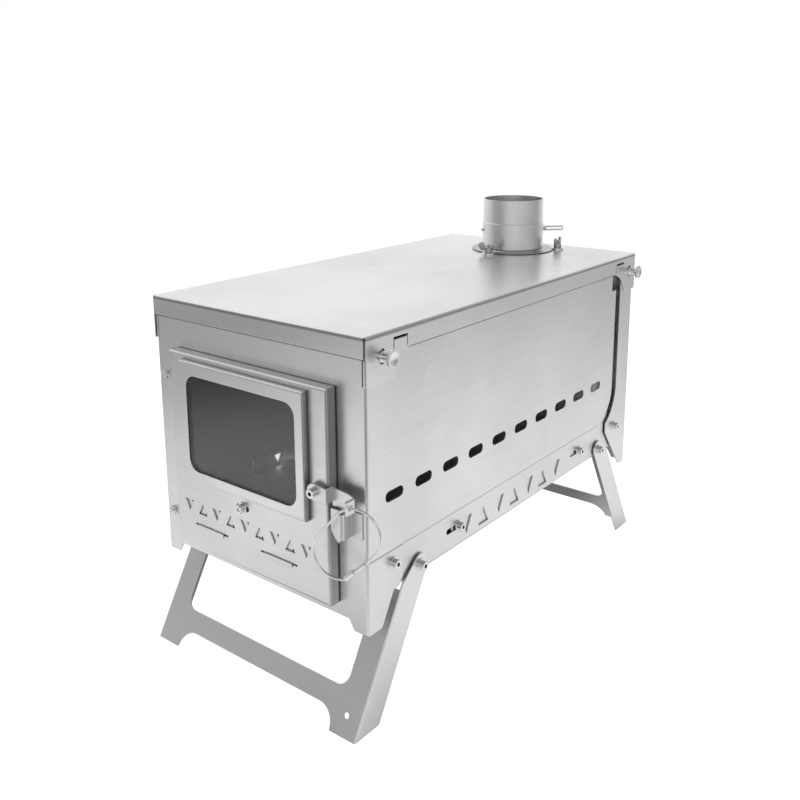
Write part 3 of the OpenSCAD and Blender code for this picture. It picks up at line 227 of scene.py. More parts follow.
class Groups:
    """The shader groups that the finishes share."""

    def __init__(self) -> None:
        """Build each group once."""
        self.grain = self._grain()
        self.handling = self._handling()
        self.edges = self._edges()

    @staticmethod
    def _grain() -> Tree:
        """Build the rolling grain: fine streaks along X, and cloudy patches.

        Returns:
            A group whose outputs are streaks and clouds from 0 to 1.
        """
        drawn_out = (0.02, 1.0, 1.0)
        streak_range, cloud_range = (0.3, 0.7), (0.35, 0.65)
        made = GroupBuilder("RollingGrain", {"Fineness": 900.0, "Cloud Scale": 9.0}, ("Streaks", "Clouds"))
        stretch = add(made.tree, "Mapping", Vector=made.source["Vector"], Scale=drawn_out)
        fine = noise(made.tree, stretch.outputs[0], made.source["Fineness"], 3.0, 0.6)
        cloud = noise(made.tree, made.source["Vector"], made.source["Cloud Scale"], 4.0, 0.55)
        made.put("Streaks", spread(made.tree, fine, streak_range, UNIT))
        made.put("Clouds", spread(made.tree, cloud, cloud_range, UNIT))
        return made.tree

    @staticmethod
    def _handling() -> Tree:
        """Build the marks of handling: short thin scratches in a few directions.

        Returns:
            A group whose output is 1 in a scratch and 0 beside it.
        """
        directions, tilt = (0.35, 1.25, 2.3), 0.7
        drawn_out = (0.08, 1.0, 1.0)
        width, patch_scale, patch_range = 0.012, 22.0, (0.56, 0.66)
        made = GroupBuilder("Handling", {"Density": 45.0}, ("Scratches",))
        total = None
        for turn in directions:
            facing = add(
                made.tree, "Mapping", Vector=made.source["Vector"], Rotation=(turn, turn * tilt, turn)
            )
            stretch = add(made.tree, "Mapping", Vector=facing.outputs[0], Scale=drawn_out)
            cells = add(made.tree, "TexVoronoi", Vector=stretch.outputs[0], Scale=made.source["Density"])
            cells.feature = "DISTANCE_TO_EDGE"
            line = spread(made.tree, cells.outputs[0], (0.0, width), (1.0, 0.0))
            patch = noise(made.tree, facing.outputs[0], patch_scale, 1.0)
            mark = math_node(made.tree, "MULTIPLY", line, spread(made.tree, patch, patch_range, UNIT))
            total = mark if total is None else math_node(made.tree, "MAXIMUM", total, mark)
        made.put("Scratches", total)
        return made.tree

    @staticmethod
    def _edges() -> Tree:
        """Build the deburred edges: a normal that rounds each edge, and a mask of where it does.

        Returns:
            A group whose outputs are the mask, broken up by noise, and the normal.
        """
        bent_range = (0.99, 0.85)
        patch_scale, patch_range, kept = 120.0, (0.3, 0.6), (0.35, 1.0)
        made = GroupBuilder("DeburredEdges", {"Radius": 0.0005}, ("WearAndHighlight",), ("Rounded",))
        round_off = add(made.tree, "Bevel", Radius=made.source["Radius"])
        round_off.samples = 6
        flat = add(made.tree, "NewGeometry").outputs["Normal"]
        along = math_node(made.tree, "DOT_PRODUCT", round_off.outputs[0], flat, kind="VectorMath")
        bent = spread(made.tree, along, bent_range, UNIT)
        patch = noise(made.tree, made.source["Vector"], patch_scale, 2.0)
        made.put("WearAndHighlight", math_node(made.tree, "MULTIPLY", bent, spread(made.tree, patch, patch_range, kept)))
        made.put("Rounded", round_off.outputs[0])
        return made.tree


# ---- Finishes ----


@dataclass(frozen=True)
class ShadeLine:
    """A line of painted shade where sheets meet or fold.

    Args:
        axis: The axis across it.
        place: Where it lies on that axis.
        half: Its half width.
        left: What is left of the colour in it.
    """

    axis: Axis
    place: float
    half: float
    left: float


@dataclass(frozen=True)
class Metal:
    """A metal finish.

    Args:
        name: The material's name.
        colour: Its reflected colour, linear.
        roughness: Its middle roughness.
        grain: The axis of its rolling grain.
        streak: How strongly the grain shows in the colour.
        cloud: How strongly the cloudy patches show in the colour.
        scratch: How strongly the scratches show.
        relief: The height of the grain in the bump.
        edge: The radius of the deburred edges.
        wear_and_highlight: How much brighter the deburred edges are: partly wear, partly a painted
            highlight.
        thread: The pitch of a screw thread along the grain's axis, or 0.
        shade_lines: Its lines of painted shade where sheets meet or fold.
        side_shade_line: The height of one more line of painted shade, on the sides of the stove alone, or 0.
    """

    name: str
    colour: Triple
    roughness: float
    grain: Axis = Axis.X
    streak: float = 0.05
    cloud: float = 0.05
    scratch: float = 0.5
    relief: float = 0.000004
    edge: float = 0.0005
    wear_and_highlight: float = 0.14
    thread: float = 0.0
    shade_lines: tuple[ShadeLine, ...] = ()
    side_shade_line: float = 0.0

    # The turn that lays each axis along X, where the grain runs.
    TURNS: ClassVar[dict[Axis, Triple]] = {
        Axis.X: (0.0, 0.0, 0.0), Axis.Y: (0.0, 0.0, math.pi / 2), Axis.Z: (0.0, math.pi / 2, 0.0),
    }
    CLOUD_LIFT: ClassVar[float] = 0.4  # a cloud's bright side, as a share of its dark side
    SCRATCH_LIFT: ClassVar[float] = 0.08  # how much brighter a full scratch is
    # The next four values shape the lines of painted shade: the darkest core, and the line along the sides.
    SHADE_CORE: ClassVar[float] = 0.4  # the share of a seam's half width that is darkest
    SIDE_FACE: ClassVar[Pair] = (0.1084, 0.1086)  # where the side seam starts, outwards
    SIDE_LINE: ClassVar[Pair] = (0.0003, 0.0009)  # half widths of its core and its whole
    SIDE_LEFT: ClassVar[float] = 0.5  # what is left of the colour in it
    ROUGH_CLOUD: ClassVar[Pair] = (0.04, -0.03)  # added by the clouds, from 0 to 1
    ROUGH_STREAK: ClassVar[Pair] = (0.03, -0.02)  # added by the streaks, from 0 to 1
    ROUGH_WORN: ClassVar[float] = 0.08  # taken away by worn edges
    THREAD_DEPTH: ClassVar[float] = 0.4  # as a share of the pitch

    def build(self, groups: Groups) -> Material:
        """Build the material.

        Args:
            groups: The shared shader groups.

        Returns:
            The new material.
        """
        material, shader = new_material(self.name)
        tree = material.node_tree
        coords = add(tree, "TexCoord").outputs["Object"]
        along = add(tree, "Mapping", Vector=coords, Rotation=self.TURNS[self.grain]).outputs[0]
        grain = self._group(tree, groups.grain, along)
        marks = self._group(tree, groups.handling, coords)
        edges = self._group(tree, groups.edges, coords)
        edges.inputs["Radius"].default_value = self.edge
        streaks, clouds, wear_and_highlight = grain.outputs["Streaks"], grain.outputs["Clouds"], edges.outputs["WearAndHighlight"]
        light = math_node(
            tree, "ADD",
            spread(tree, streaks, UNIT, (1.0 - self.streak, 1.0)),
            spread(tree, clouds, UNIT, (-self.cloud, self.cloud * self.CLOUD_LIFT)),
        )
        lift = self.scratch * self.SCRATCH_LIFT
        light = math_node(tree, "ADD", light, math_node(tree, "MULTIPLY", marks.outputs["Scratches"], lift))
        # Deburred edges are lighter: partly wear, partly a painted highlight.
        light = math_node(tree, "ADD", light, math_node(tree, "MULTIPLY", wear_and_highlight, self.wear_and_highlight))
        # Dark lines of painted shade under folds and rims and where sheets meet.
        light = self._paint_shade(tree, coords, light)
        tree.links.new(tinted(tree, self.colour, light), shader.inputs["Base Color"])
        rough = math_node(
            tree, "ADD",
            spread(tree, clouds, UNIT, tuple(self.roughness + more for more in self.ROUGH_CLOUD)),
            spread(tree, streaks, UNIT, self.ROUGH_STREAK),
        )
        smoother = math_node(tree, "MULTIPLY", wear_and_highlight, self.ROUGH_WORN)
        tree.links.new(math_node(tree, "SUBTRACT", rough, smoother), shader.inputs["Roughness"])
        rounded = edges.outputs["Rounded"]
        bump = add(tree, "Bump", Strength=1.0, Distance=self.relief, Height=streaks, Normal=rounded)
        if self.thread:
            wave = add(tree, "TexWave", Vector=along, Scale=WAVE_PITCH / self.thread)
            wave.bands_direction = "X"
            bump = add(
                tree, "Bump", Strength=1.0, Distance=self.thread * self.THREAD_DEPTH,
                Height=wave.outputs["Fac"], Normal=bump.outputs[0],
            )
        tree.links.new(bump.outputs[0], shader.inputs["Normal"])
        shader.inputs["Metallic"].default_value = 1.0
        return material

    def _paint_shade(self, tree: Tree, coords: Socket, light: Socket) -> Socket:
        """Paint shade into the lines where sheets meet or fold.

        Args:
            tree: The material's node tree.
            coords: The place on the stove.
            light: The brightness so far.

        Returns:
            The brightness with the painted shade in it.
        """
        if not (self.shade_lines or self.side_shade_line):
            return light
        place = add(tree, "SeparateXYZ", Vector=coords).outputs
        for shade_line in self.shade_lines:
            off = math_node(tree, "SUBTRACT", place[shade_line.axis.value], shade_line.place)
            away = math_node(tree, "ABSOLUTE", off)
            line = spread(tree, away, (self.SHADE_CORE * shade_line.half, shade_line.half), (shade_line.left, 1.0))
            light = math_node(tree, "MULTIPLY", light, line)
        if self.side_shade_line:
            away = math_node(tree, "ABSOLUTE", math_node(tree, "SUBTRACT", place["Z"], self.side_shade_line))
            inward = spread(tree, math_node(tree, "ABSOLUTE", place["X"]), self.SIDE_FACE, (1.0, 0.0))
            line = math_node(tree, "MAXIMUM", inward, spread(tree, away, self.SIDE_LINE, UNIT))
            light = math_node(tree, "MULTIPLY", light, spread(tree, line, UNIT, (self.SIDE_LEFT, 1.0)))
        return light

    @staticmethod
    def _group(tree: Tree, group: Tree, vector: Socket) -> Node:
        """Place a shared group.

        Args:
            tree: The material's node tree.
            group: The group.
            vector: What its Vector input reads.

        Returns:
            The group's node.
        """
        made = add(tree, "Group")
        made.node_tree = group
        tree.links.new(vector, made.inputs["Vector"])
        return made


@dataclass(frozen=True)
class Glass:
    """Clear heat-resistant glass with a little haze and a few smears.

    Args:
        name: The material's name.
        tint: Its colour.
        index: Its index of refraction.
        roughness: Its roughness where it is clean and in a smear.
        smear_turn: How far the smears lean, in radians.
        smear_stretch: How the smears are drawn out.
        smear_scale: The scale of the smears' noise.
        smear_range: The part of that noise in which a smear starts and is full.
    """

    name: str = "WindowGlass"
    tint: Triple = (0.88, 0.9, 0.89)
    index: float = 1.47
    roughness: Pair = (0.01, 0.06)
    smear_turn: float = 0.5
    smear_stretch: Triple = (1.0, 1.0, 0.25)
    smear_scale: float = 60.0
    smear_range: Pair = (0.45, 0.7)

    def build(self) -> Material:
        """Build the material.

        Returns:
            The new material.
        """
        material, shader = new_material(self.name)
        tree = material.node_tree
        shader.inputs["Base Color"].default_value = (*self.tint, 1.0)
        shader.inputs["Metallic"].default_value = 0.0
        coords = add(tree, "TexCoord").outputs["Object"]
        lean = (0.0, self.smear_turn, 0.0)
        smear = add(tree, "Mapping", Vector=coords, Rotation=lean, Scale=self.smear_stretch)
        cloud = noise(tree, smear.outputs[0], self.smear_scale, 4.0)
        tree.links.new(spread(tree, cloud, self.smear_range, self.roughness), shader.inputs["Roughness"])
        shader.inputs["IOR"].default_value = self.index
        shader.inputs["Transmission Weight"].default_value = 1.0
        return material


@dataclass(frozen=True)
class Weave:
    """Woven mineral tape: two crossing sets of threads.

    Args:
        name: The material's name.
        colour: The threads' colour.
        thread: The width of a thread.
        shade: What is left of the colour between the threads and on them.
        relief: How far the threads stand out.
        roughness: Their roughness.
    """

    name: str = "GasketWeave"
    colour: Triple = (0.16, 0.16, 0.155)
    thread: float = 0.0006
    shade: Pair = (0.55, 1.2)
    relief: float = 0.0002
    roughness: float = 0.9

    def build(self) -> Material:
        """Build the material.

        Returns:
            The new material.
        """
        material, shader = new_material(self.name)
        tree = material.node_tree
        coords = add(tree, "TexCoord").outputs["Object"]
        waves = []
        for turn in (math.radians(45), math.radians(-45)):
            crossed = add(tree, "Mapping", Vector=coords, Rotation=(0.0, turn, 0.0))
            wave = add(tree, "TexWave", Vector=crossed.outputs[0], Scale=WAVE_PITCH / 2 / self.thread)
            waves.append(wave.outputs["Fac"])
        woven = math_node(tree, "MULTIPLY", *waves)
        colour = tinted(tree, self.colour, spread(tree, woven, UNIT, self.shade))
        tree.links.new(colour, shader.inputs["Base Color"])
        bump = add(tree, "Bump", Strength=1.0, Distance=self.relief, Height=woven)
        tree.links.new(bump.outputs[0], shader.inputs["Normal"])
        shader.inputs["Roughness"].default_value = self.roughness
        return material


class Palette:
    """Every material of the stove, built once."""

    def __init__(self) -> None:
        """Build the materials."""
        groups = Groups()
        grey, satin, pan_seam = (0.82, 0.82, 0.815), 0.36, 0.13
        bolt = {"grain": Axis.Z, "streak": 0.03, "cloud": 0.03, "relief": 0.000002}
        # Lines of painted shade: at the collar's flange rim and foot, under the lid's top fold and skirt,
        # and at the door's and window's rims and folds; pan_seam is the height where the casing meets the
        # pan.
        flange_rim, collar_foot = ShadeLine(Axis.Z, 0.2904, 0.0008, 0.12), ShadeLine(Axis.Z, 0.2922, 0.0009, 0.3)
        under_top, under_skirt = ShadeLine(Axis.Z, 0.2882, 0.0014, 0.5), ShadeLine(Axis.Z, 0.2743, 0.001, 0.4)
        door_rim, window_rim = ShadeLine(Axis.Y, -0.2031, 0.0009, 0.2), ShadeLine(Axis.Y, -0.2131, 0.0008, 0.25)
        door_folds = tuple(ShadeLine(Axis.X, place, 0.0012, 0.6) for place in (0.0822, -0.0822))
        window_folds = tuple(ShadeLine(Axis.X, place, 0.0012, 0.6) for place in (0.065, -0.065))
        self.sheet_x = Metal("SheetAlongX", grey, satin).build(groups)
        self.sheet_y = Metal("SheetAlongY", grey, satin, Axis.Y).build(groups)
        self.collar = Metal(
            "CollarSheet", grey, 0.3, Axis.Z, wear_and_highlight=0.0, edge=0.0002, shade_lines=(flange_rim, collar_foot)
        ).build(groups)
        self.lid = Metal("LidSheet", grey, 0.28, Axis.Y, shade_lines=(under_top,)).build(groups)
        self.casing = Metal(
            "CasingSheet", grey, satin, Axis.Y, shade_lines=(under_skirt,), side_shade_line=pan_seam
        ).build(groups)
        self.pan = Metal("PanSheet", grey, satin, Axis.Y, side_shade_line=pan_seam).build(groups)
        self.tray = Metal("DoorSheet", grey, satin, shade_lines=(door_rim, *door_folds)).build(groups)
        self.frame = Metal("WindowFrameSheet", grey, satin, shade_lines=(window_rim, *window_folds)).build(groups)
        # Near-black steel: painted shade at the bottoms of the cap screws' sockets.
        self.painted_socket_shade = Metal("SocketPaintedShade", (0.05, 0.05, 0.05), 0.5, Axis.Z, wear_and_highlight=0.0).build(groups)
        self.inner = Metal("FireboxSheet", (0.85, 0.85, 0.84), 0.45, Axis.Y, cloud=0.12).build(groups)
        self.screw = Metal("BrightSteel", (0.82, 0.82, 0.82), 0.2, **bolt).build(groups)
        self.thread = Metal("ThreadedSteel", (0.8, 0.8, 0.8), 0.22, **bolt, thread=0.0007).build(groups)
        self.nut = Metal("PlainSteel", (0.7, 0.7, 0.7), 0.28, Axis.Z, cloud=0.06).build(groups)
        self.wire = Metal("DrawnWire", (0.88, 0.88, 0.87), 0.22, Axis.Z, edge=0.0002).build(groups)
        self.wing = Metal("WingNutSteel", (0.4, 0.4, 0.4), 0.16, Axis.Z, cloud=0.08, wear_and_highlight=0.25).build(groups)
        self.glass = Glass().build()
        self.gasket = Weave().build()


# ---- Pieces ----


def dress(material: Material, *names: str) -> None:
    """Give CAD nodes a material.

    Args:
        material: The finish that the nodes take.
        names: The nodes' names.
    """
    for name in names:
        node = NODES[name]
        node.data.materials.clear()
        node.data.materials.append(material)
        log.info("%s: %s", name, material.name)


def turned(name: str, outline: list[Pair], place: Triple, along: Triple, steps: int) -> BMesh:
    """Turn a closed piece, as on a lathe.

    Args:
        name: The piece's name, for the log.
        outline: Its outline as (distance along the axis, radius), from pole to pole or round a ring.
        place: Where the axis starts.
        along: The way that the axis points.
        steps: The number of faces around.

    Returns:
        The new shape.
    """
    same_corner = 1e-7
    shape = bmesh.new()
    points = [shape.verts.new((radius, 0.0, reach)) for reach, radius in outline]
    if outline[0] == outline[-1]:
        shape.verts.remove(points.pop())
        points.append(points[0])
    edges = [shape.edges.new(pair) for pair in zip(points, points[1:])]
    bmesh.ops.spin(
        shape, geom=list(dict.fromkeys(points)) + edges, cent=(0.0, 0.0, 0.0), axis=UP, angle=2 * math.pi,
        steps=steps, use_merge=True,
    )
    bmesh.ops.remove_doubles(shape, verts=shape.verts, dist=same_corner)
    bmesh.ops.recalc_face_normals(shape, faces=shape.faces)
    turn = Vector(along).to_track_quat("Z", "Y").to_matrix().to_4x4()
    bmesh.ops.transform(shape, matrix=Matrix.Translation(place) @ turn, verts=shape.verts)
    log.info("%s: turned in %d faces", name, len(shape.faces))
    return shape


def sort_parts(shape: BMesh) -> None:
    """Put a shape's corners and faces in the order of their places.

    A spin leaves them in another order each time that the script runs.

    Args:
        shape: The shape.
    """
    corners = sorted(shape.verts, key=lambda corner: corner.co[:])
    ranks = {corner: rank for rank, corner in enumerate(corners)}
    shape.verts.sort(key=ranks.get)
    faces = sorted(shape.faces, key=lambda face: sorted(ranks[corner] for corner in face.verts))
    ranks = {face: rank for rank, face in enumerate(faces)}
    shape.faces.sort(key=ranks.get)


def finish_piece(
    name: str, shape: BMesh, material: Material, body: str
) -> bpy.types.Object:
    """Make a shape a piece of the stove.

    Args:
        name: The piece's name.
        shape: Its shape, in place.
        material: Its finish.
        body: The body that carries it.

    Returns:
        The new piece.
    """
    mesh = bpy.data.meshes.new(name)
    sort_parts(shape)
    shape.to_mesh(mesh)
    shape.free()
    mesh.materials.append(material)
    mesh.shade_smooth()
    mesh.set_sharp_from_angle(angle=SHARP)
    piece = bpy.data.objects.new(name, mesh)
    bpy.context.scene.collection.objects.link(piece)
    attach(piece, body)
    log.info("%s rides on %s", name, body)
    return piece


# ---- The stove's sub-assemblies ----


@dataclass
class CornerStrips:
    """The front edge of the casing beside each corner's slit.

    Args:
        palette: The finishes.
        across: How far each strip reaches from the middle, from its inner to its outer edge.
        back: Its front and rear face.
        up: Its lower and upper end.
        edge: The radius of its edges.
    """

    palette: Palette
    across: Pair = (0.1064, 0.1079)
    back: Pair = (-0.2025, -0.2015)
    up: Pair = (0.2558, 0.2880)
    edge: float = 0.0002

    def build(self) -> None:
        """Cut the two strips."""
        size = Vector((b - a for a, b in (self.across, self.back, self.up)))
        for side, way in (("left", -1.0), ("right", 1.0)):
            shape = bmesh.new()
            bmesh.ops.create_cube(shape, size=1.0)
            middle = Vector((way * sum(self.across) / 2, sum(self.back) / 2, sum(self.up) / 2))
            move = Matrix.Translation(middle) @ Matrix.Diagonal((*size, 1.0))
            bmesh.ops.transform(shape, matrix=move, verts=shape.verts)
            bmesh.ops.bevel(
                shape, geom=shape.edges[:], offset=self.edge, segments=2, affect="EDGES", profile=0.5,
                material=-1,
            )
            finish_piece(f"corner_strip_{side}", shape, self.palette.casing, "stove")


@dataclass
class Sockets:
    """Dark discs of painted shade at the bottoms of the cap screws' sockets.

    Args:
        palette: The finishes.
        rows: Each group of cap screws, the body that carries it, and the axis of its screws.
        depth: How deep each bottom lies under the head's end.
        width: The socket's width across its flats.
        thick: The thickness of each dark disc.
        same_corner: How near corners of a CAD mesh lie to be one.
    """

    palette: Palette
    rows: tuple[tuple[str, str, Axis], ...] = (
        ("leg_bolts", "stove", Axis.X),
        ("tab_bolts", "stove", Axis.X),
        ("latch_screw", "door", Axis.Y),
        ("shutter_screws_left", "side_air_left", Axis.X),
        ("shutter_screws_right", "side_air_right", Axis.X),
    )
    depth: float = 0.00195
    width: float = 0.00296
    thick: float = 0.0002
    same_corner: float = 1e-6

    def build(self) -> None:
        """Lay a dark disc of painted shade in the socket of every cap screw."""
        for node, body, axis in self.rows:
            whole = bmesh.new()
            for low, high in self._solids(node):
                middle = (low + high) / 2
                if axis is Axis.X:
                    out = Vector((math.copysign(1.0, middle.x), 0.0, 0.0))
                else:
                    out = Vector((0.0, -1.0, 0.0))
                half = abs((high - low).dot(out)) / 2
                self._bottom(whole, middle + out * (half - self.depth), out)
            # Each disc is painted shade for the socket's depth, in near-black steel.
            finish_piece(f"socket_painted_shade_{node}", whole, self.palette.painted_socket_shade, body)

    def _solids(self, node: str) -> list[tuple[Vector, Vector]]:
        """Find the box of each separate solid of a CAD node.

        Args:
            node: The node's name.

        Returns:
            The lowest and highest corner of each solid.
        """
        copy = bmesh.new()
        copy.from_mesh(NODES[node].data)
        bmesh.ops.remove_doubles(copy, verts=copy.verts, dist=self.same_corner)
        boxes, left = [], set(copy.verts)
        for start in copy.verts:
            if start not in left:
                continue
            left.discard(start)
            group, queue = [start], [start]
            while queue:
                for edge in queue.pop().link_edges:
                    for near in edge.verts:
                        if near in left:
                            left.discard(near)
                            group.append(near)
                            queue.append(near)
            low = Vector(min(v.co[i] for v in group) for i in range(3))
            high = Vector(max(v.co[i] for v in group) for i in range(3))
            boxes.append((low, high))
        copy.free()
        return boxes

    def _bottom(self, whole: BMesh, place: Vector, out: Vector) -> None:
        """Add one hexagonal bottom.

        Args:
            whole: The piece that takes it.
            place: The middle of its lower face.
            out: The way that the screw's head faces.
        """
        corner = self.width / math.sqrt(3)
        made = bmesh.ops.create_cone(
            whole, cap_ends=True, segments=6, radius1=corner, radius2=corner, depth=self.thick
        )
        turn = out.to_track_quat("Z", "Y").to_matrix().to_4x4()
        move = Matrix.Translation(place + out * self.thick / 2) @ turn
        bmesh.ops.transform(whole, matrix=move, verts=made["verts"])


@dataclass
class EarScrews:
    """The four round-headed thumb screws that clamp the lid's ears to the body.

    Args:
        palette: The finishes.
        face: How far the lid's face stands from the middle.
        ends: How far back each pair of screws stands.
        height: The height of the screws' axes.
        shank: The shank's radius and its length behind the face.
        flange: The radius and thickness of the flange against the lid.
        neck: The neck's radius.
        head: The head's radius and thickness.
        reach: How far the head's end stands from the face.
        ease: The size of the edges' bevels, and the depth of the dish in the head's end.
        dish: The radius of that dish at its rim and at its bottom, as shares of the head's.
        flutes: The number of the knurl's ridges.
        pressed: The depth of the knurl.
    """

    palette: Palette
    face: float = 0.110
    ends: tuple[tuple[str, float], ...] = (("front", -0.187), ("rear", 0.191))
    height: float = 0.274
    shank: Pair = (0.002, 0.0055)
    flange: Pair = (0.004, 0.0014)
    neck: float = 0.0028
    head: Pair = (0.006, 0.0028)
    reach: float = 0.0104
    ease: float = 0.0003
    dish: Pair = (0.6, 0.5)
    flutes: int = 36
    pressed: float = 0.0003

    def build(self) -> None:
        """Turn the screws and cut their knurls."""
        for side, way in (("left", -1.0), ("right", 1.0)):
            for end, back in self.ends:
                name = f"thumb_screw_{end}_{side}"
                place = (way * self.face, back, self.height)
                shape = turned(name, self._outline(), place, (way, 0.0, 0.0), 2 * self.flutes)
                self._knurl(shape, back)
                piece = finish_piece(name, shape, self.palette.screw, f"screw_{end}_{side}")
                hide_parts(f"ear_screw_{end}_{side}")

    def _outline(self) -> list[Pair]:
        """Draw the screw from the tip of its shank to the end of its head.

        Returns:
            The outline as (distance from the lid's face, radius).
        """
        ease, reach, neck = self.ease, self.reach, self.neck
        shank, depth = self.shank
        flange, thick = self.flange
        head, low = self.head[0], reach - self.head[1]
        rim, bottom = self.dish
        return [
            (-depth, 0.0), (-depth, shank - ease), (ease - depth, shank), (0.0, shank),
            (0.0, flange - ease), (ease, flange), (thick - ease, flange), (thick, flange - ease),
            (thick, neck + ease), (thick + ease, neck), (low - ease, neck), (low, neck + ease),
            (low, head - 2 * ease), (low + ease, head), (reach - ease, head), (reach, head - 2 * ease),
            (reach, rim * head), (reach - ease, bottom * head), (reach - ease, 0.0),
        ]

    def _knurl(self, shape: BMesh, back: float) -> None:
        """Press every second line of the head's rim inwards.

        Args:
            shape: The screw.
            back: Where the screw's axis stands along Y.
        """
        for corner in shape.verts:
            arm = Vector((0.0, corner.co.y - back, corner.co.z - self.height))
            if arm.length > self.head[0] - self.pressed:
                step = round(math.atan2(arm.z, arm.y) / (math.pi / self.flutes))
                if step % 2:
                    corner.co -= arm.normalized() * self.pressed


@dataclass
class Body:
    """The folded sheets of the body, and what holds them together."""

    palette: Palette

    def build(self) -> None:
        """Dress the body's sheets and screws."""
        dress(self.palette.sheet_y, "side_shutter_left", "side_shutter_right")
        dress(self.palette.pan, "bottom_pan")
        dress(self.palette.lid, "lid")
        dress(self.palette.casing, "casing")
        dress(self.palette.sheet_x, "rear_panel")
        dress(self.palette.inner, "heat_shield_left", "heat_shield_right", "fire_grate")
        dress(self.palette.screw, "tab_bolts", "leg_bolts", "bolt_washers")
        dress(self.palette.nut, "tab_nuts", "leg_nuts", "spacer_washers", "ear_nuts")
        for side in ("left", "right"):
            dress(self.palette.screw, f"shutter_screws_{side}", f"shutter_washers_{side}")
            dress(self.palette.nut, f"shutter_nuts_{side}")


@dataclass
class Legs:
    """The two folding leg frames."""

    palette: Palette

    def build(self) -> None:
        """Dress the leg frames."""
        dress(self.palette.sheet_x, "front_leg_frame", "rear_leg_frame")


@dataclass
class Door:
    """The door with its window, shutter, hinges and latch."""

    palette: Palette

    def build(self) -> None:
        """Dress the door's pieces."""
        dress(self.palette.tray, "door_tray")
        dress(self.palette.frame, "window_frame")
        dress(self.palette.sheet_x, "door_shutter")
        dress(self.palette.sheet_x, "hinge_brackets", "hinge_lugs", "latch_arm", "latch_keeper")
        dress(self.palette.screw, "shutter_knob", "knob_washer", "hinge_pins", "latch_screw", "latch_spacer")
        dress(self.palette.nut, "knob_nut", "latch_nut")
        dress(self.palette.glass, "window_glass")
        dress(self.palette.gasket, "glass_gasket")
        dress(self.palette.wire, "wire_loop")
        dress(self.palette.screw, "loop_barrel")


@dataclass
class WingNuts:
    """The three cast wing nuts on the collar's studs.

    Args:
        palette: The finishes.
        places: Each nut's name, where its axis stands and how far its wings are turned, in degrees.
        seat: The height that the nuts stand on.
        bore: The radius of the thread's hole.
        hub: The hub's radius at its foot and at its top, and its height.
        skirt: The share of that height at which the hub starts to narrow.
        ease: The size of the hub's bevels.
        faces: The number of faces around the hub.
        wing: The size of a wing: along its arm, its thickness and its height.
        bend: The radius of a wing's corners, as a share of its size along the arm.
        arm: How far a wing's middle stands from the axis, and how high above the seat.
        lean: How far a wing leans outwards, in degrees.
        edge: The rounding of a wing's edges.
    """

    palette: Palette
    places: tuple[tuple[str, float, float, float], ...] = (
        ("front", 0.0, 0.11, 32.0),
        ("right", 0.038625, 0.1769, 100.0),
        ("left", -0.038625, 0.1769, 165.0),
    )
    seat: float = 0.2918
    bore: float = 0.0022
    hub: Triple = (0.0039, 0.0033, 0.0048)
    skirt: float = 0.3
    ease: float = 0.0003
    faces: int = 40
    wing: Triple = (0.0058, 0.0018, 0.0078)
    bend: float = 0.42
    arm: Pair = (0.0062, 0.0063)
    lean: float = 24.0
    edge: float = 0.0008

    def build(self) -> None:
        """Cast the nuts."""
        for name, across, back, turn in self.places:
            place = (across, back, self.seat)
            shape = turned(f"cast_wing_nut_{name}", self._hub_outline(), place, UP, self.faces)
            for way in (0.0, math.pi):
                arm = Matrix.Rotation(math.radians(turn) + way, 4, "Z")
                self._add_wing(shape, Matrix.Translation(place) @ arm)
            piece = finish_piece(f"cast_wing_nut_{name}", shape, self.palette.wing, f"nut_{name}")
            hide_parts(f"wing_nut_{name}")

    def _hub_outline(self) -> list[Pair]:
        """Draw the hub round its bore.

        Returns:
            The outline as (height above the seat, radius).
        """
        foot, top, height = self.hub
        ease = self.ease
        return [
            (0.0, self.bore), (0.0, foot - ease), (ease, foot), (self.skirt * height, foot),
            (height - ease, top), (height, top - ease), (height, self.bore), (0.0, self.bore),
        ]

    def _add_wing(self, shape: BMesh, place: Matrix) -> None:
        """Add one wing, rounded at its tip and sunk in the hub.

        Args:
            shape: The nut.
            place: The hub's place, turned to this wing.
        """
        along_y, rim_angle = 1e-5, math.radians(60)
        wing = bmesh.new()
        bmesh.ops.create_cube(wing, size=1.0)
        bmesh.ops.transform(wing, matrix=Matrix.Diagonal((*self.wing, 1.0)), verts=wing.verts)
        across = [e for e in wing.edges if abs((e.verts[0].co - e.verts[1].co).y) > along_y]
        bmesh.ops.bevel(
            wing, geom=across, offset=self.bend * self.wing[0], segments=6, affect="EDGES", profile=0.5,
            material=-1,
        )
        rims = [e for e in wing.edges if len(e.link_faces) == 2 and e.calc_face_angle() > rim_angle]
        bmesh.ops.bevel(
            wing, geom=rims, offset=self.edge, segments=3, affect="EDGES", profile=0.5, material=-1
        )
        tilt = Matrix.Rotation(math.radians(self.lean), 4, "Y")
        lean = Matrix.Translation((self.arm[0], 0.0, self.arm[1])) @ tilt
        bmesh.ops.transform(wing, matrix=place @ lean, verts=wing.verts)
        spare = bpy.data.meshes.new("wing")
        wing.to_mesh(spare)
        wing.free()
        shape.from_mesh(spare)
        bpy.data.meshes.remove(spare)


@dataclass
class FlueTop:
    """The flue collar with its damper and its three studs."""

    palette: Palette

    def build(self) -> None:
        """Dress the flue's pieces."""
        dress(self.palette.collar, "flue_collar")
        dress(self.palette.thread, "flue_studs")
        dress(self.palette.screw, "flue_washers", "damper_shaft")
        dress(self.palette.inner, "damper_disc")


# ---- Studio ----


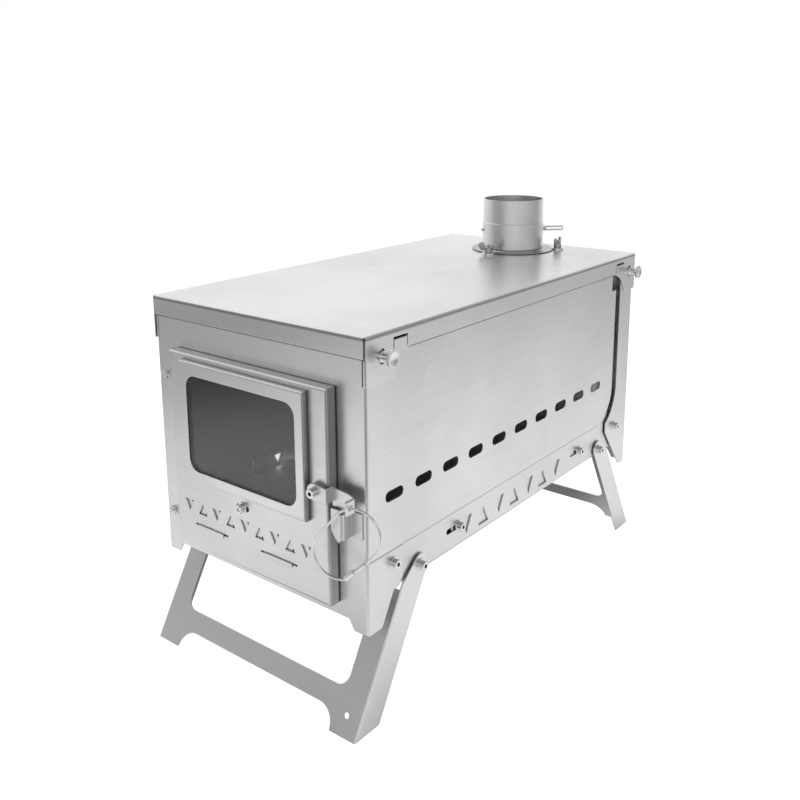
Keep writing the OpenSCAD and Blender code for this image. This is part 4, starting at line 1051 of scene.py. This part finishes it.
@dataclass
class Camera:
    """The photograph's camera, fitted to the stove's edges.

    Args:
        place: Where it stands.
        azimuth: How far it is turned round Z, in degrees.
        elevation: How far it looks up, in degrees.
        roll: How far it is rolled, in degrees.
        lens: Its focal length, in millimetres.
        sensor: Its sensor's width, in millimetres.
        shift: How far its picture is shifted across and up, as shares of the sensor.
        nearest: The nearest distance that it shows.
    """

    place: Triple = (0.4837, -0.6401, 0.4424)
    azimuth: float = 38.57
    elevation: float = -12.505
    roll: float = -0.323
    lens: float = 41.67
    sensor: float = 36.0
    shift: Pair = (0.0044, -0.1253)
    nearest: float = 0.01

    def build(self) -> None:
        """Add the camera to the scene."""
        data = bpy.data.cameras.new("Camera")
        data.lens = self.lens
        data.sensor_width = self.sensor
        data.shift_x, data.shift_y = self.shift
        data.clip_start = self.nearest
        camera = bpy.data.objects.new("Camera", data)
        bpy.context.scene.collection.objects.link(camera)
        look = Euler((math.radians(90 + self.elevation), 0.0, math.radians(self.azimuth)), "XYZ")
        turn = look.to_matrix() @ Matrix.Rotation(math.radians(self.roll), 3, "Z")
        camera.matrix_world = Matrix.Translation(self.place) @ turn.to_4x4()
        bpy.context.scene.camera = camera


@dataclass
class Lamp:
    """A square softbox.

    Args:
        name: Its name.
        place: Where it stands.
        size: The length of its side.
        power: Its power, in watts.
        aim: What it points at.
    """

    name: str
    place: Triple
    size: float
    power: float
    aim: Triple = (0.0, 0.0, 0.15)

    def build(self) -> None:
        """Add the softbox to the scene."""
        data = bpy.data.lights.new(self.name, "AREA")
        data.shape = "SQUARE"
        data.size = self.size
        data.energy = self.power
        lamp = bpy.data.objects.new(self.name, data)
        bpy.context.scene.collection.objects.link(lamp)
        toward = (Vector(self.aim) - Vector(self.place)).to_track_quat("-Z", "Y")
        lamp.matrix_world = Matrix.Translation(self.place) @ toward.to_matrix().to_4x4()


@dataclass(frozen=True)
class Spot:
    """A round patch of the floor that is brighter or dimmer in metal.

    Args:
        middle: Its middle.
        inner: The radius within which it is full.
        outer: The radius beyond which it is gone.
        light: The factor on the floor's light.
    """

    middle: Triple
    inner: float
    outer: float
    light: float


@dataclass
class Studio:
    """A white sweep under and behind the stove, a dimmer room in front, and two softboxes.

    Args:
        reach: How far the floor reaches from its middle.
        paper: How much light the floor's paper scatters.
        seen: The floor's own light where the camera or the glass sees it.
        bright_spot: The middle of the floor's lit area.
        near: The distance from there within which metal mirrors the floor at its brightest.
        far: The distance beyond which metal mirrors it at its dimmest.
        mirrored: The floor's brightest and dimmest light in metal.
        shade: What is left of that light right under the stove.
        shade_edge: The distances from the stove's middle between which that shade ends.
        shade_scale: How those distances count along each axis.
        spots: The floor's dimmer and brighter patches.
        fill: The surround's light on things that don't mirror it.
        around: The surround's light in metal at each azimuth, in degrees from +X.
        above: The surround's light in metal above the sweep's upper edge.
        above_edge: The Z of the way where the sweep's upper edge starts and ends.
        left_wall: The way to the middle of a bright wall on the left.
        left_edge: The cosines of the angles to that way at which the wall starts and is full.
        left_light: The wall's light in metal.
        lamps: The softboxes.
    """

    reach: float = 1.8
    paper: float = 0.8
    seen: float = 0.86
    bright_spot: Triple = (0.1, 0.14, 0.0)
    near: float = 0.2
    far: float = 1.5
    mirrored: Pair = (0.98, 0.47)
    shade: float = 0.2
    shade_edge: Pair = (0.11, 0.18)
    shade_scale: Triple = (1.0, 0.5, 1.0)
    spots: tuple[Spot, ...] = (
        Spot((0.5, -0.7, 0.0), 0.15, 0.55, 0.1),
        Spot((-0.9, -0.85, 0.0), 0.25, 0.6, 0.55),
        Spot((-0.27, -0.72, 0.0), 0.1, 0.42, 1.45),
    )
    fill: float = 0.55
    around: tuple[Pair, ...] = (
        (-180, 0.9), (-155, 0.7), (-130, 0.38), (-105, 0.42), (-80, 0.78), (-50, 0.88), (-25, 0.7),
        (0, 0.46), (25, 0.34), (45, 0.34), (62, 0.62), (85, 0.99), (160, 0.99), (180, 0.9),
    )
    above: float = 0.12
    above_edge: Pair = (0.45, 0.65)
    left_wall: Triple = (-0.62, 0.1, 0.775)
    left_edge: Pair = (0.82, 0.89)
    left_light: float = 1.12
    lamps: list[Lamp] = field(
        default_factory=lambda: [
            Lamp("TopBox", (0.3, 0.2, 1.6), 1.4, 2.2),
            Lamp("RightBox", (1.5, 0.4, 0.9), 1.2, 1.2),
        ]
    )

    def build(self) -> None:
        """Add the floor, the world and the lamps."""
        self._floor()
        self._world()
        for lamp in self.lamps:
            lamp.build()

    def _floor(self) -> None:
        """Lay the floor, which keeps the stove's shadow."""
        sheet = bmesh.new()
        bmesh.ops.create_grid(sheet, x_segments=1, y_segments=1, size=self.reach)
        mesh = bpy.data.meshes.new("Floor")
        sheet.to_mesh(mesh)
        sheet.free()
        floor = bpy.data.objects.new("Floor", mesh)
        bpy.context.scene.collection.objects.link(floor)
        mesh.materials.append(self._floor_paper())

    def _floor_paper(self) -> Material:
        """Build the floor's material: paper to the eye, light and dark patches in the metal.

        Returns:
            The new material.
        """
        material, shader = new_material("FloorPaper")
        tree = material.node_tree
        tree.nodes.remove(shader)
        path = add(tree, "LightPath")
        paper = add(tree, "BsdfDiffuse", Color=(self.paper, self.paper, self.paper, 1.0))
        own = math_node(tree, "MULTIPLY", self._seen(tree, path), self.seen)
        plain = self._join(tree, "AddShader", paper, add(tree, "Emission", Strength=own))
        mirror = add(tree, "Emission", Strength=self._floor_light(tree))
        both = self._join(tree, "MixShader", plain, mirror)
        tree.links.new(path.outputs["Is Glossy Ray"], both.inputs[0])
        tree.links.new(both.outputs[0], tree.nodes["Material Output"].inputs["Surface"])
        return material

    def _floor_light(self, tree: Tree) -> Socket:
        """Work out the light that metal mirrors from each place on the floor.

        Args:
            tree: The floor's node tree.

        Returns:
            The light.
        """
        coords = add(tree, "TexCoord").outputs["Object"]
        away = math_node(tree, "DISTANCE", coords, self.bright_spot, kind="VectorMath")
        lit = spread(tree, away, (self.near, self.far), self.mirrored, smooth=True)
        squeezed = add(tree, "Mapping", Vector=coords, Scale=self.shade_scale)
        under = math_node(tree, "LENGTH", squeezed.outputs[0], kind="VectorMath")
        light = math_node(tree, "MULTIPLY", lit, spread(tree, under, self.shade_edge, (self.shade, 1.0)))
        for spot in self.spots:
            off = math_node(tree, "DISTANCE", coords, spot.middle, kind="VectorMath")
            part = spread(tree, off, (spot.inner, spot.outer), (spot.light, 1.0), smooth=True)
            light = math_node(tree, "MULTIPLY", light, part)
        return light

    @staticmethod
    def _seen(tree: Tree, path: Node) -> Socket:
        """Tell what the camera sees, also through the glass, from the light path."""
        return math_node(tree, "MAXIMUM", path.outputs["Is Camera Ray"], path.outputs["Is Transmission Ray"])

    @staticmethod
    def _join(tree: Tree, kind: str, first: Node, second: Node) -> Node:
        """Join two shaders.

        Args:
            tree: The node tree that takes the node.
            kind: The type of the node that joins them.
            first: The first shader.
            second: The second shader.

        Returns:
            The node that joins them.
        """
        made = add(tree, kind)
        tree.links.new(first.outputs[0], made.inputs[-2])
        tree.links.new(second.outputs[0], made.inputs[-1])
        return made

    def _world(self) -> None:
        """Make the surround: white where it is seen, and light and dark by turns in the metal."""
        world = bpy.data.worlds.new("Surround")
        world.use_nodes = True
        bpy.context.scene.world = world
        tree = world.node_tree
        path = add(tree, "LightPath")
        way = add(tree, "TexCoord").outputs["Generated"]
        parts = add(tree, "SeparateXYZ", Vector=way).outputs
        azimuth = math_node(tree, "ARCTAN2", parts["Y"], parts["X"])
        ring = add(tree, "ValToRGB")
        ring.color_ramp.interpolation = "EASE"
        stops = ring.color_ramp.elements
        while len(stops) < len(self.around):
            stops.new(1.0)
        for stop, (angle, light) in zip(stops, self.around):
            stop.position = angle / 360 + 0.5
            stop.color = (light, light, light, 1.0)
        tree.links.new(spread(tree, azimuth, (-math.pi, math.pi), UNIT), ring.inputs[0])
        sweep = spread(tree, parts["Z"], self.above_edge, (ring.outputs[0], self.above), smooth=True)
        toward = math_node(tree, "DOT_PRODUCT", way, self.left_wall, kind="VectorMath")
        wall = spread(tree, toward, self.left_edge, (0.0, self.left_light))
        mirrored = math_node(tree, "MAXIMUM", sweep, wall)
        seen = self._seen(tree, path)
        plain = spread(tree, seen, UNIT, (self.fill, 1.0))
        unseen = math_node(tree, "SUBTRACT", 1.0, seen)
        glossy = math_node(tree, "MULTIPLY", path.outputs["Is Glossy Ray"], unseen)
        back = tree.nodes["Background"]
        back.inputs["Color"].default_value = (1.0, 1.0, 1.0, 1.0)
        tree.links.new(spread(tree, glossy, UNIT, (plain, mirrored)), back.inputs["Strength"])


def main() -> None:
    """Build the camera, the stove's finishes and pieces, and the studio."""
    bpy.context.scene.view_settings.view_transform = "Standard"
    Camera().build()
    palette = Palette()
    for kind in (Body, CornerStrips, EarScrews, Legs, Door, FlueTop, WingNuts, Sockets):
        kind(palette).build()
        log.info("%s built", kind.__name__)
    Studio().build()


if __name__ == "__main__":
    main()
